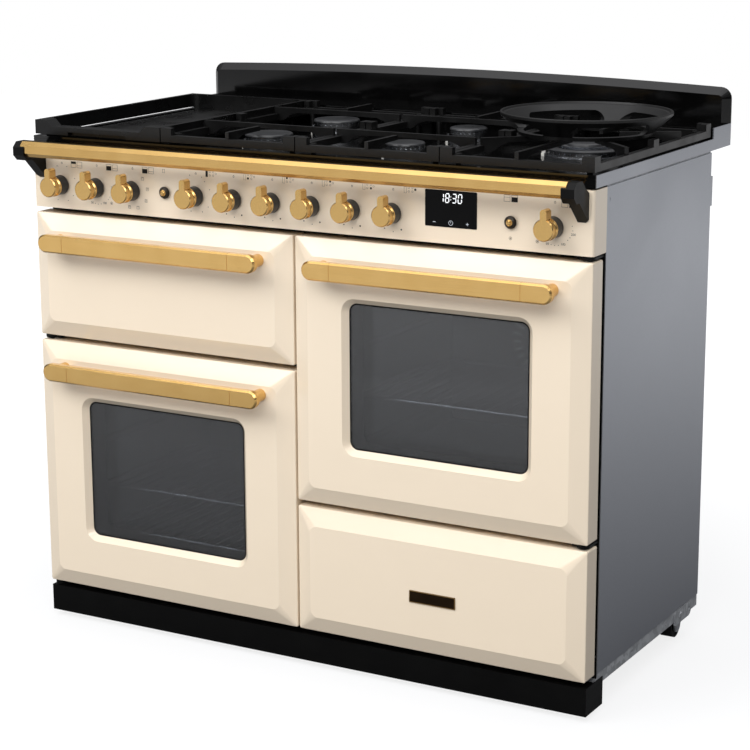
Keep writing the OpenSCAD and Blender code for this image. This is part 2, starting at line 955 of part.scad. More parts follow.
// a wire shelf: a frame of thick wire with thin wires from front to back
module shelf(cx, z) {
    w = oven_w - 2 * shelf_play;
    frame_r = wire_r + 0.8;
    y0 = cavity_y + 26;
    y1 = oven_back() - 64;
    rod_x(y0, z, frame_r, cx - w / 2, cx + w / 2);
    rod_x(y1, z, frame_r, cx - w / 2, cx + w / 2);
    for (s = [-1, 1])
        rod_y(cx + s * (w / 2 - frame_r), z, frame_r, y0, y1);
    step = (w - 20) / (wire_count + 1);
    for (i = [1:wire_count])
        rod_y(cx - w / 2 + 10 + i * step, z, wire_r, y0, y1);
}

// height at which a shelf rests on runner i
function shelf_z(z0, i) =
    runner_z(z0, i) + sqrt(pow(runner_r, 2) - pow(runner_back + shelf_play, 2))
    + wire_r + 0.8 + 0.05;

module oven_shelves() {
    color([0.78, 0.79, 0.8])
        placed() {
            shelf(left_mid, shelf_z(left_oven_z + oven_up, 0));
            shelf(left_mid, shelf_z(left_oven_z + oven_up, 1));
            shelf(right_mid, shelf_z(right_oven_z + oven_up, 1));
        }
}

// ---- fronts

// the pressed outer shape: folded edge, slope and flat field
module front_solid(x0, x1, z0, z1, shrink) {
    cx = (x0 + x1) / 2;
    cz = (z0 + z1) / 2;
    w = x1 - x0 - 2 * shrink;
    h = z1 - z0 - 2 * shrink;
    fw = w - 2 * field_border + shrink;
    fh = h - 2 * field_border + shrink;
    plate(cx, cz, w, h, 3, shrink, fold_d + (shrink > 0 ? 1 : 0));
    hull() {
        plate(cx, cz, w, h, 3, shrink, shrink + 1);
        plate(cx, cz, w - 1.5, h - 1.5, 3, shrink - 1.2, shrink);
        plate(cx, cz, fw + 6, fh + 6, field_r + 3, shrink - field_rise + 1.6, shrink);
        plate(cx, cz, fw, fh, field_r, shrink - field_rise, shrink);
    }
}

module front_pan(x0, x1, z0, z1) {
    difference() {
        front_solid(x0, x1, z0, z1, 0);
        front_solid(x0, x1, z0, z1, front_sheet);
    }
}

function window_z(z0) = z0 + window_up;

module window_cut(cx, zc) {
    hull() {
        plate(cx, zc, window_w, window_h, window_r, pane_y - 0.5, pane_y + 0.5);
        plate(cx, zc, window_w + 2 * window_slope, window_h + 2 * window_slope,
              window_r + window_slope, -field_rise - 0.5, -field_rise + 0.01);
    }
}

module door_panel_shape(x0, x1, z0, hinge_edge) {
    cx = (x0 + x1) / 2;
    zc = window_z(z0);
    side = hinge_edge == x0 ? 1 : -1;
    color(cream)
        placed() {
            difference() {
                union() {
                    front_pan(x0, x1, z0, z0 + oven_door_h);
                    plate(cx, zc, window_w + 2 * window_slope + 8, window_h + 2 * window_slope + 8,
                          window_r + window_slope + 4, -field_rise + 0.5, pane_y);
                }
                window_cut(cx, zc);
                translate([hinge_edge + side * hinge_in, hinge_in, z0 - 5])
                    cylinder(h = oven_door_h + 10, r = hinge_pin_r + 0.5);
            }
        }
}

module door_glass_shape(cx, z0) {
    zc = window_z(z0);
    w = window_w + 2 * pane_lap;
    h = window_h + 2 * pane_lap;
    color([0.12, 0.14, 0.17, 0.6])
        placed() {
            plate(cx, zc, w, h, window_r, pane_y, pane_y + pane_t);
            plate(cx, zc, w, h, window_r, liner_y, liner_y + pane_t - 0.5);
        }
}

module door_liner_shape(x0, x1, z0, hinge_edge) {
    cx = (x0 + x1) / 2;
    zc = window_z(z0);
    inset = front_sheet + 0.4;
    side = hinge_edge == x0 ? 1 : -1;
    w = x1 - x0 - 2 * inset;
    h = oven_door_h - 2 * inset;
    duct_w = window_w + 2 * pane_lap + 0.6;
    duct_h = window_h + 2 * pane_lap + 0.6;
    px = hinge_edge + side * hinge_in;
    mid_z = z0 + oven_door_h / 2;
    color([0.12, 0.12, 0.13])
        placed() {
            difference() {
                union() {
                    plate(cx, mid_z, w, h, 4, liner_y, front_back);
                    plate(cx, zc, duct_w + 3, duct_h + 3, window_r + 2, pane_y + pane_t + 0.3, liner_y);
                    for (z = [z0 + inset, z0 + oven_door_h - inset - 26])
                        side_box(px, side, -9, 12, 5, liner_y, z, z + 26);
                }
                plate(cx, zc, window_w - 4, window_h - 4, window_r, pane_y, front_back + 1);
                plate(cx, zc, duct_w, duct_h, window_r + 0.3, pane_y, liner_y + pane_t - 0.4);
            }
            translate([px, hinge_in, z0 - front_gap + 2])
                cylinder(h = front_gap, r = hinge_pin_r);
            translate([px, hinge_in, z0 + oven_door_h - 2])
                cylinder(h = front_gap, r = hinge_pin_r);
        }
}

// a bar with round end pieces on two round posts
module handle_shape(cx, z_top) {
    z = z_top - handle_down;
    y1 = -field_rise - finger_gap;
    y0 = y1 - handle_t;
    color(brass)
        placed() {
            difference() {
                hull() {
                    plate(cx, z, handle_l, handle_h, handle_h / 2 - 0.1, y0 + handle_chamfer, y1);
                    plate(cx, z, handle_l - 2 * handle_chamfer, handle_h - 2 * handle_chamfer,
                          handle_h / 2 - handle_chamfer - 0.1, y0, y1);
                }
                for (s = [-1, 1])
                    seam_cut(cx + s * (handle_l / 2 - handle_end), z, y0, y1);
            }
            for (s = [-1, 1])
                rod_y(cx + s * (handle_l / 2 - post_in), z, post_r, y1, -field_rise);
        }
}

// a shallow groove round the bar
module seam_cut(x, z, y0, y1) {
    difference() {
        box([x - seam / 2, y0 - 1, z - handle_h / 2 - 1], [x + seam / 2, y1 + 1, z + handle_h / 2 + 1]);
        box([x - seam, y0 + seam, z - handle_h / 2 + seam],
            [x + seam, y1 - seam, z + handle_h / 2 - seam]);
    }
}

module left_door_panel() {
    door_panel_shape(left_x0, left_x1, left_oven_z, left_x0);
}

module left_door_liner() {
    door_liner_shape(left_x0, left_x1, left_oven_z, left_x0);
}

module left_door_glass() {
    door_glass_shape(left_mid, left_oven_z);
}

module left_door_handle() {
    handle_shape(left_mid, left_oven_z + oven_door_h);
}

module right_door_panel() {
    door_panel_shape(right_x0, right_x1, right_oven_z, right_x1);
}

module right_door_liner() {
    door_liner_shape(right_x0, right_x1, right_oven_z, right_x1);
}

module right_door_glass() {
    door_glass_shape(right_mid, right_oven_z);
}

module right_door_handle() {
    handle_shape(right_mid, right_oven_z + oven_door_h);
}

// ---- grill drawer

module plain_front(x0, x1, z0) {
    z1 = z0 + short_front_h;
    back_w = x1 - x0 - 2 * front_sheet + 0.2;
    color(cream)
        placed() {
            front_pan(x0, x1, z0, z1);
            plate((x0 + x1) / 2, (z0 + z1) / 2, back_w, short_front_h - 2 * front_sheet + 0.2, 3,
                  fold_d - 2, fold_d);
        }
}

module grill_front() {
    plain_front(left_x0, left_x1, grill_z);
}

module grill_handle() {
    handle_shape(left_mid, grill_z + short_front_h);
}

// side arms that run in the chamber's rails, tied to the front by a cross plate
module grill_carriage() {
    w = grill_w / 2 - 14;
    y1 = cavity_y + grill_d - 20;
    z0 = carriage_z - 6.4;
    z1 = carriage_z + 6.4;
    color([0.62, 0.63, 0.65])
        placed() {
            for (s = [-1, 1])
                difference() {
                    union() {
                        side_box(left_mid, s, w - 3, w + 10.4, fold_d, y1, z0, z1);
                        side_box(left_mid, s, w - 3, w - 1, fold_d, fold_d + 60, carriage_z - 20, z1);
                    }
                    side_box(left_mid, s, w, w + 8, fold_d + 14, y1 - 8, carriage_z - 4, z1 + 4);
                }
            box([left_mid - w + 1, fold_d, carriage_z - 20], [left_mid + w - 1, fold_d + 2, z1]);
            for (y = [fold_d + 24, y1 - 3])
                box([left_mid - w + 1, y, z0], [left_mid + w - 1, y + 3, z0 + 3]);
        }
}

// the pan hangs by its lip on the arms and carries a wire rack
module grill_pan() {
    x = grill_w / 2 - 15;
    y0 = fold_d + 32;
    y1 = cavity_y + grill_d - 30;
    lip_z = carriage_z + 6.4 + 0.05;
    z0 = lip_z + 2 - pan_h;
    lip = 5;
    in = lip + pan_wall;
    color([0.2, 0.21, 0.23])
        placed() {
            difference() {
                union() {
                    side_box(left_mid, 1, lip - x, x - lip, y0 + lip, y1 - lip, z0, lip_z + 2);
                    side_box(left_mid, 1, -x, x, y0, y1, lip_z, lip_z + 2);
                }
                side_box(left_mid, 1, in - x, x - in, y0 + in, y1 - in, z0 + pan_wall, lip_z + 3);
            }
            rack_z = lip_z + 2 + 2 * wire_r;
            for (i = [-8:8])
                rod_y(left_mid + i * 20, rack_z, wire_r, y0 + 8, y1 - 8);
            for (y = [y0 + 2, y1 - 2 - 2 * wire_r])
                side_box(left_mid, 1, -170, 170, y, y + 8, lip_z + 1.5, rack_z + 0.3);
        }
}

// ---- storage drawer

module drawer_front() {
    plain_front(right_x0, right_x1, drawer_z);
}

module drawer_box() {
    z0 = drawer_z + 22;
    w = box_w;
    color([0.66, 0.67, 0.69])
        placed() {
            difference() {
                side_box(right_mid, 1, -w / 2, w / 2, fold_d, fold_d + box_d, z0, z0 + box_h);
                side_box(right_mid, 1, box_wall - w / 2, w / 2 - box_wall, fold_d + box_wall,
                         fold_d + box_d - box_wall, z0 + box_wall, z0 + box_h + 1);
            }
            for (s = [-1, 1])
                side_box(right_mid, s, w / 2 - 0.2, w / 2 + 7, frame_y + 8, fold_d + box_d,
                         rail_slot_z - 6.4, rail_slot_z + 6.4);
        }
}

// ---- control panel

module control_panel() {
    z0 = panel_bottom;
    z1 = case_top;
    corner = 5;
    color(cream)
        placed()
            difference() {
                panel_block(half_w, z0, z1, corner, 0, case_front);
                panel_block(half_w - sheet, z0 + sheet, z1 - sheet, corner - sheet, sheet,
                            case_front + 1);
                for (x = knob_xs)
                    rod_y(x, knob_z, spindle_r + 2, panel_y - 1, panel_y + 5);
                for (x = button_x)
                    rod_y(x, button_z, 6.5, panel_y - 1, panel_y + 5);
                plate(display_x, display_z, display_w, display_h, 2, panel_y - 1, panel_y + 5);
                box([-half_w + 30, 20, z0 - 1], [half_w - 30, case_front + 1, z0 + sheet + 1]);
            }
}

// a block whose two front uprights are rounded
module panel_block(x, z0, z1, r, inset, y1) {
    y0 = panel_y + inset;
    translate([0, 0, z0])
        linear_extrude(z1 - z0) {
            translate([-x, y0 + r])
                square([2 * x, y1 - y0 - r]);
            translate([-x + r, y0])
                square([2 * x - 2 * r, r + 1]);
            for (s = [-1, 1])
                translate([s * (x - r), y0 + r])
                    circle(r = r);
        }
}

module display_window() {
    color([0.02, 0.02, 0.03])
        placed() {
            plate(display_x, display_z, display_w - 0.4, display_h - 0.4, 1.8, panel_y - 0.6,
                  panel_y + sheet);
            plate(display_x, display_z, display_w + 12, display_h + 8, 2, panel_y + sheet,
                  panel_y + 16);
        }
}

// gas rail with a tap behind each hob knob, and a switch behind each other knob
module gas_taps() {
    y0 = panel_y + sheet + 4;
    color([0.6, 0.6, 0.58])
        placed() {
            rod_x(y0 + 22, knob_z - 24, 7, hob_knobs[0] - 30, hob_knobs[5] + 30);
            for (x = hob_knobs)
                difference() {
                    union() {
                        rod_y(x, knob_z, 11, y0, y0 + 30);
                        box([x - 9, y0 + 12, knob_z - 33], [x + 9, y0 + 29, knob_z - 5]);
                    }
                    rod_y(x, knob_z, spindle_r + pin_clear, y0 - 1, y0 + 12);
                }
            for (x = concat(left_knobs, [right_knob_x]))
                difference() {
                    plate(x, knob_z, 42, 42, 5, y0, y0 + 26);
                    rod_y(x, knob_z, spindle_r + pin_clear, y0 - 1, y0 + 12);
                }
            for (x = button_x)
                difference() {
                    plate(x, button_z, 18, 18, 2, y0 + 4, y0 + 24);
                    rod_y(x, button_z, 4.3, y0, y0 + 20);
                }
        }
}

// a knob: dark skirt, metal body with a groove, and a flat face with a finger
module knob_shape(x) {
    metal_y = panel_y - knob_out + knob_metal;
    face_y = panel_y - knob_out;
    translate([x, 0, knob_z])
        rotate([90, 0, 0])
            rotate_extrude()
                polygon([
                    [0, -panel_y + knob_gap],
                    [skirt_r, -panel_y + knob_gap],
                    [skirt_r - 0.4, -panel_y + knob_gap + 5],
                    [knob_r, -metal_y],
                    [knob_r + 0.5, -metal_y],
                    [knob_r + 0.5, -metal_y + 2.5],
                    [knob_r - 1.5, -metal_y + 4.5],
                    [knob_r - 1.5, -metal_y + 9],
                    [knob_r, -metal_y + 11],
                    [knob_r, -face_y - 1.5],
                    [knob_r - 1.5, -face_y],
                    [0, -face_y]
                ]);
    rod_y(x, knob_z, spindle_r, panel_y - knob_gap - 1, panel_y + sheet + 14);
    box([x - finger_w / 2, face_y, knob_z], [x + finger_w / 2, metal_y,
        knob_z + finger_up - finger_w / 2]);
    rod_y(x, knob_z + finger_up - finger_w / 2, finger_w / 2, face_y, metal_y);
}

module knob(i) {
    color(brass)
        placed()
            knob_shape(knob_xs[i]);
}

// a push button: a dark dome with a metal tip on a stem
module button(i) {
    x = button_x[i];
    z = button_z;
    gap = button_travel + 0.5;
    color([0.2, 0.18, 0.15])
        placed() {
            translate([x, 0, z])
                rotate([90, 0, 0])
                    rotate_extrude()
                        polygon([
                            [0, -panel_y + gap],
                            [button_r, -panel_y + gap],
                            [button_r, -panel_y + gap + 1.5],
                            [button_r - 2, -panel_y + gap + 4],
                            [5.5, -panel_y + gap + 5.5],
                            [5, -panel_y + button_out - 2.5],
                            [3, -panel_y + button_out - 0.4],
                            [1.5, -panel_y + button_out],
                            [0, -panel_y + button_out]
                        ]);
            rod_y(x, z, 4, panel_y - gap - 1, panel_y + sheet + 12);
        }
}

// ---- hand rail

// the rail's section with its corners cut, a and b are half of its sides
module rail_section(a, b, c) {
    polygon([
        [-a, -b + c], [-a + c, -b], [a - c, -b], [a, -b + c],
        [a, b - c], [a - c, b], [-a + c, b], [-a, b - c]
    ]);
}

// carries a section in Y and Z along X from x0 to x1
module along_x(x0, x1) {
    translate([x0, rail_mid_y, rail_z])
        rotate([90, 0, 90])
            linear_extrude(x1 - x0)
                children();
}

module rail_bar() {
    color(brass)
        placed()
            along_x(-rail_half - 8, rail_half + 8)
                rail_section(rail_t / 2, rail_h / 2, rail_chamfer);
}

module rail_bracket() {
    x1 = rail_half + rail_end_w;
    web_x = rail_half + 1;
    web_w = 19;
    foot_z = panel_bottom + 53;
    end_a = (rail_t + 15) / 2;
    end_b = (rail_h + 6) / 2;
    difference() {
        union() {
            along_x(rail_half, x1)
                translate([end_a - rail_t / 2 - 2, -4])
                    rail_section(end_a, end_b, 9.5);
            translate([web_x, 0, 0])
                rotate([90, 0, 90])
                    linear_extrude(web_w)
                        polygon([
                            [panel_y, foot_z],
                            [rail_mid_y + 12, rail_z - end_b - 5],
                            [rail_mid_y - 6, rail_z - end_b - 1],
                            [rail_mid_y, rail_z],
                            [rail_mid_y + 22, rail_z + end_b - 9],
                            [panel_y, case_top - 4]
                        ]);
        }
        along_x(rail_half - 1, rail_half + 8.3)
            rail_section(rail_t / 2 + 0.2, rail_h / 2 + 0.2, rail_chamfer);
        translate([web_x + web_w, panel_y - 60, foot_z - 2])
            rotate([0, 45, 0])
                cube([10, 120, 10], center = true);
    }
}

module rail_brackets() {
    color([0.09, 0.09, 0.1])
        placed()
            both_sides()
                rail_bracket();
}

// ---- hob

module hob_top() {
    x = half_w;
    x_in = x - rim_w;
    side_x = x - trim_w;
    y0 = 0;
    color([0.04, 0.04, 0.045])
        placed() {
            difference() {
                union() {
                    box([-side_x, y0, hob_bottom], [side_x, hob_d, hob_h]);
                    box([-x, y0, hob_bottom], [x, y0 + trim_y - 0.2, hob_h]);
                    box([-side_x, ledge_y, hob_h - 1], [side_x, hob_d, hob_h + ledge_h]);
                }
                box([-side_x + hob_sheet, y0 + hob_sheet, hob_bottom - 1],
                    [side_x - hob_sheet, ledge_y - 0.5, well_z - hob_sheet]);
                box([-side_x + hob_sheet, ledge_y + hob_sheet, hob_bottom + hob_sheet],
                    [side_x - hob_sheet, hob_d - hob_sheet, hob_h + ledge_h - hob_sheet]);
                // outlets for the ovens' hot air under the ledge
                for (cx = [left_mid, right_mid], i = [-2:2])
                    box([cx + i * 80 - 30, ledge_y + 20, hob_bottom - 1],
                        [cx + i * 80 + 30, ledge_y + 30, hob_bottom + 2]);
                box([-side_x + hob_sheet, y0 + hob_sheet, hob_bottom - 1],
                    [side_x - hob_sheet, y0 + rim_w - hob_sheet, hob_h - hob_sheet]);
                box([-x_in, y0 + rim_w, well_z], [x_in, ledge_y - 0.5, hob_h + 1]);
                for (z = [hob_h - 5, hob_h - 9])
                    box([-x - 1, y0 - 1, z], [x + 1, y0 + 0.8, z + 1.2]);
                translate([-x - 1, y0, hob_h])
                    rotate([45, 0, 0])
                        cube([2 * x + 2, 2, 2]);
                for (b = burner_spots)
                    translate([b[0], b[1], well_z - 5])
                        cylinder(h = 10, r = b[2] - 10);
                translate([zone_x[3], wok_y, well_z - 5])
                    cylinder(h = 10, r = wok_burner_r - 20);
            }
        }
}

trim_w = 2;
trim_y = 3;

// metal strips along the sides of the hob, stepped up at the ledge
module hob_side_trims() {
    color([0.55, 0.57, 0.61])
        placed()
            both_sides() {
                box([half_w - trim_w, trim_y, hob_bottom], [half_w, hob_d, hob_h]);
                box([half_w - trim_w, ledge_y, hob_h - 1], [half_w, hob_d, hob_h + ledge_h]);
            }
}

// outline of the splashback in X and Z: round corners and a gently arched top
module splash_outline(inset) {
    w = half_w - inset;
    z0 = hob_h + ledge_h;
    z1 = hob_h + splash_up - inset;
    r = max(splash_r - inset, 4);
    steps = 16;
    corner = [for (i = [0:6]) let(a = i * 15)
        [w - r + r * cos(a), z1 - r + r * sin(a)]];
    arch = [for (i = [1:steps - 1]) let(t = i / steps)
        [(w - r) * (1 - 2 * t), z1 + splash_rise * 4 * t * (1 - t)]];
    left = [for (i = [6:-1:0]) [-corner[i][0], corner[i][1]]];
    polygon(concat([[w, z0]], corner, arch, left, [[-w, z0]]));
}

module splash_slice(inset, y0, y1) {
    translate([0, y1, 0])
        rotate([90, 0, 0])
            linear_extrude(y1 - y0)
                splash_outline(inset);
}

module splashback() {
    color([0.03, 0.03, 0.035])
        placed()
            hull() {
                splash_slice(0, splash_y + splash_chamfer, hob_d);
                splash_slice(splash_chamfer, splash_y, splash_y + 1);
            }
}

module burner_head(x, y, r) {
    translate([x, y, 0])
        difference() {
            union() {
                translate([0, 0, well_z])
                    cylinder(h = 6, r = r + 4);
                translate([0, 0, well_z + 6])
                    cylinder(h = cap_z - cap_t - 5 - well_z - 6, r = r - 4);
                translate([0, 0, cap_z - cap_t - 8])
                    cylinder(h = 8, r = r - 1);
                translate([0, 0, well_z - 20])
                    cylinder(h = 21, r = 14);
            }
            for (i = [0:23])
                rotate([0, 0, i * 15])
                    translate([r - 5, -1.2, cap_z - cap_t - 5])
                        cube([8, 2.4, 6]);
            translate([0, 0, well_z - 21])
                cylinder(h = 10, r = 6);
        }
    // spark pin beside the head
    translate([x - r - 9, y, well_z])
        cylinder(h = 14, r = 2.2);
}

module wok_head() {
    translate([zone_x[3], wok_y, 0]) {
        difference() {
            union() {
                translate([0, 0, well_z])
                    cylinder(h = 8, r = wok_burner_r + 4);
                translate([0, 0, well_z + 8])
                    cylinder(h = 9, r = wok_burner_r - 3);
            }
            translate([0, 0, well_z + 6])
                cylinder(h = 30, r = wok_burner_r - 18);
            for (i = [0:35])
                rotate([0, 0, i * 10])
                    translate([wok_burner_r - 8, -1.2, well_z + 12])
                        cube([8, 2.4, 6]);
        }
        translate([0, 0, well_z])
            cylinder(h = 20, r = 36);
        translate([0, 0, well_z + 20])
            cylinder(h = 4, r1 = 40, r2 = 42);
        translate([0, 0, well_z - 20])
            cylinder(h = 21, r = 18);
    }
    translate([zone_x[3] - wok_burner_r - 12, wok_y, well_z])
        cylinder(h = 16, r = 2.2);
}

// the griddle's long flat burner
module griddle_head() {
    l = 300;
    y0 = 110;
    translate([zone_x[0], y0, well_z]) {
        translate([-14, 0, 0])
            cube([28, l, 5]);
        for (y = [0, l])
            translate([0, y, 0])
                cylinder(h = 5, r = 14);
    }
}

module burner_heads() {
    color([0.74, 0.75, 0.77])
        placed() {
            for (b = burner_spots)
                burner_head(b[0], b[1], b[2]);
            wok_head();
            griddle_head();
        }
}

module burner_cap(x, y, r, z) {
    translate([x, y, 0])
        rotate_extrude()
            polygon([
                [0, z - cap_t], [r, z - cap_t], [r + 0.6, z - cap_t + 1], [r, z - 2],
                [r - 2, z - 0.6], [r - 6, z], [0, z]
            ]);
}

module burner_caps() {
    wok_cap_z = well_z + 24 + cap_t;
    ring_z = well_z + 17;
    color([0.3, 0.31, 0.32])
        placed() {
            for (b = burner_spots)
                burner_cap(b[0], b[1], b[2], cap_z);
            burner_cap(zone_x[3], wok_y, 32, wok_cap_z);
            translate([zone_x[3], wok_y, 0])
                rotate_extrude()
                    polygon([
                        [wok_burner_r - 19, ring_z], [wok_burner_r, ring_z],
                        [wok_burner_r, ring_z + 2], [wok_burner_r - 3, ring_z + 4],
                        [wok_burner_r - 16, ring_z + 4], [wok_burner_r - 19, ring_z + 2]
                    ]);
        }
}

// ---- pan supports

// a finger from the frame towards a burner, with a deep root and a thin end
module tine(x0, y0, x1, y1) {
    dx = x1 - x0;
    dy = y1 - y0;
    l = sqrt(dx * dx + dy * dy);
    translate([x0, y0, 0])
        rotate([0, 0, atan2(dy, dx)])
            translate([0, tine_w / 2, 0])
                rotate([90, 0, 0])
                    linear_extrude(tine_w)
                        polygon([
                            [0, bar_z], [bar_w + 6, bar_z], [bar_w + 14, bar_z + 4],
                            [bar_w + 22, bar_z + 10], [bar_w + 36, cast_top - 9],
                            [l, cast_top - 8], [l, cast_top], [0, cast_top]
                        ]);
}

module pan_support_shape(i) {
    cx = zone_x[i];
    x0 = cx - cast_w / 2;
    x1 = cx + cast_w / 2;
    y0 = cast_y0;
    y1 = cast_y0 + cast_d;
    bar_top = bar_z + bar_h;
    // the low frame
    difference() {
        box([x0, y0, bar_z], [x1, y1, bar_top]);
        box([x0 + bar_w, y0 + bar_w, bar_z - 1], [x1 - bar_w, y1 - bar_w, bar_top + 1]);
    }
    // raised lugs at the corners and at the middle of the sides
    for (x = [x0, x1 - bar_w], y = [y0, (y0 + y1) / 2 - lug_l / 2, y1 - lug_l])
        box([x, y, bar_top - 1], [x + bar_w, y + lug_l, cast_top]);
    for (x = [x0, x1 - lug_l], y = [y0, y1 - bar_w])
        box([x, y, bar_top - 1], [x + lug_l, y + bar_w, cast_top]);
    // feet that stand in the hob's well
    for (s = [-1, 1], y = [y0 + rim_w + 14, y1 - 24]) {
        translate([cx + s * foot_in, y, well_z])
            cylinder(h = bar_top - well_z, r = 5);
        side_box(cx, s, foot_in, cast_w / 2 - 4, y - 4, y + 4, bar_z, bar_top);
    }
}

foot_in = cast_w / 2 - bar_w - 9;

// bars across the two burners of a zone, with a finger at the front and the rear
module two_burner_support(i) {
    cx = zone_x[i];
    color(iron)
        placed() {
            pan_support_shape(i);
            for (y = [burner_front, burner_rear], s = [-1, 1])
                tine(cx + s * (cast_w / 2 - 2), y, cx - s, y);
            tine(cx, cast_y0 + 2, cx, burner_front - tine_reach);
            tine(cx, cast_y0 + cast_d - 2, cx, burner_rear + tine_reach);
        }
}

module pan_support_left() {
    two_burner_support(1);
}

module pan_support_middle() {
    two_burner_support(2);
}

// four diagonal fingers round the wok burner, and one at the front and at the rear
module pan_support_right() {
    cx = zone_x[3];
    inner = wok_burner_r - 4;
    color(iron)
        placed() {
            pan_support_shape(3);
            for (s = [-1, 1]) {
                tine(cx + s * (cast_w / 2 - 5), burner_front, cx + s * inner * cos(50),
                     wok_y - inner * sin(50));
                tine(cx + s * (cast_w / 2 - 5), burner_rear, cx + s * inner * cos(50),
                     wok_y + inner * sin(50));
            }
            tine(cx, cast_y0 + 2, cx, wok_y - inner);
            tine(cx, cast_y0 + cast_d - 2, cx, wok_y + inner);
        }
}

// a cast ring for a round pan: a dish whose wall opens wide between four legs
module wok_ring() {
    z0 = cast_top + 0.3;
    z1 = z0 + wok_h;
    foot = wok_r - 40;
    color(iron)
        placed()
            translate([zone_x[3], wok_y, 0])
                difference() {
                    rotate_extrude($fn = 72)
                        polygon([
                            [foot, z0], [foot + 9, z0], [foot + 11, z0 + 6],
                            [wok_r - 2, z1 - 7], [wok_r, z1 - 5], [wok_r, z1 - 1],
                            [wok_r - 1, z1], [wok_r - 4, z1], [wok_r - 6, z1 - 3],
                            [wok_r - 9, z1 - 4], [foot + 4, z0 + 12], [foot, z0 + 8]
                        ]);
                    for (a = [45:90:315])
                        rotate([0, 0, a])
                            translate([foot - 30, 0, (z0 + 6 + z1 - wok_band) / 2])
                                rotate([90, 0, 90])
                                    linear_extrude(80)
                                        round_rect(wok_gap, wok_h - wok_band - 6, 9);
                }
}

// ---- griddle

module griddle() {
    cx = zone_x[0];
    x0 = cx - cast_w / 2;
    x1 = cx + cast_w / 2;
    y0 = cast_y0;
    y1 = cast_y0 + cast_d;
    floor_z = hob_h - 2;
    lip_z = hob_h + griddle_lip;
    lug = [36, 44];
    slope = 12;
    color([0.09, 0.09, 0.095])
        placed() {
            difference() {
                union() {
                    box([x0 + rim_w, y0 + rim_w + 2, floor_z - 5], [x1 - 6, y1 - 4, bar_z + 1]);
                    box([x0, y0, bar_z - 1], [x1, y1, cast_top]);
                }
                // the tray
                translate([cx, (y0 + y1) / 2 + 10, floor_z + 30])
                    linear_extrude(60, center = true)
                        round_rect(cast_w - 2 * griddle_wall - 4, cast_d - 2 * griddle_wall - 24, 20);
                // the low front between the lugs
                translate([0, y0 + 40, 0])
                    rotate([90, 0, 0])
                        linear_extrude(60)
                            polygon([
                                [x0 + lug[0], lip_z], [x1 - lug[1], lip_z],
                                [x1 - lug[1] + slope, cast_top + 1],
                                [x0 + lug[0] - slope, cast_top + 1]
                            ]);
                // hand hold under the lip
                box([x0 + 2 * lug[0], y0 - 1, bar_z - 2], [x1 - 2 * lug[1] + 14, y0 + 8, lip_z - 8]);
            }
            for (x = [x0 + 24, x1 - 24], y = [y0 + rim_w + 16, y1 - 26])
                translate([x, y, well_z])
                    cylinder(h = floor_z - 4 - well_z, r = 6);
        }
}

// ---- drawing

base_tray();
plinth();
side_panel_left();
side_panel_right();
back_panel();
front_frame();
chassis_rails();
oven_cavities();
grill_chamber();
control_panel();
display_window();
hob_top();
hob_side_trims();
splashback();
rail_bar();
rail_brackets();
burner_heads();
burner_caps();
gas_taps();
heating_elements();
fan_covers();
fan_motors();
door_seals();
service_inlets();
oven_shelves();
knob(0);  // knob_grill
knob(1);  // knob_left_heat
knob(2);  // knob_left_function
knob(3);  // knob_griddle
knob(4);  // knob_burner_front_left
knob(5);  // knob_burner_rear_left
knob(6);  // knob_burner_rear_right
knob(7);  // knob_burner_front_right
knob(8);  // knob_wok
knob(9);  // knob_right_heat
button(0);  // button_spark
button(1);  // button_light
left_door_panel();
left_door_liner();
left_door_glass();
left_door_handle();
right_door_panel();
right_door_liner();
right_door_glass();
right_door_handle();
grill_front();
grill_handle();
grill_carriage();
grill_pan();
drawer_front();
drawer_box();
griddle();
pan_support_left();
pan_support_middle();
pan_support_right();
wok_ring();
fan_left();
fan_right();
rear_roller_left();
rear_roller_right();
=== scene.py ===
# %% [markdown]
# # A range cooker with two ovens
#
# The imported model already holds every piece of the cooker at its real size. This lesson gives
# those pieces their finishes, and adds what is too thin or too small for a construction model:
# the ink on the panel, the digits of the clock, the bare plate on the drawer, screws and lamps.
# We load the model first.

# %% Load the frame
import math

import bmesh
import bpy
from mathutils import Matrix, Vector


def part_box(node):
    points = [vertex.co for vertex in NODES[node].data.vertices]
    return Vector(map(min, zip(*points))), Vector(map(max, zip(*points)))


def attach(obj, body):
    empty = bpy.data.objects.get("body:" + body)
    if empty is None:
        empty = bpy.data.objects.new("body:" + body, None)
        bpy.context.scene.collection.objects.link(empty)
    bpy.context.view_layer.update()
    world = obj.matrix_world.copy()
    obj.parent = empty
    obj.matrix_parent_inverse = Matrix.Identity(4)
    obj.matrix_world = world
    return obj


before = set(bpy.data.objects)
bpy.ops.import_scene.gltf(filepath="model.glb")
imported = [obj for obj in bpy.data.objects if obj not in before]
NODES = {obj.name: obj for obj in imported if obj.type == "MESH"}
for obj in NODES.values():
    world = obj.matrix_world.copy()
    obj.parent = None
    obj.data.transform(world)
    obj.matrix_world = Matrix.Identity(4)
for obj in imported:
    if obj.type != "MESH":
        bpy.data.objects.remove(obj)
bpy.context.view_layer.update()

# %% [markdown]
# ## The camera
#
# The photograph was taken with a long lens from the front right, a little above the hob. We could
# rotate the camera by hand, but a place, a point to look at and a very small roll say the same
# thing in numbers that are easy to change.

# %% Camera
CAMERA_AT = Vector((1.8589, -3.2737, 1.3769))
LOOK_AT = Vector((0.0043, 0.0, 0.4717))
ROLL = math.radians(-0.24)
LENS = 102.35

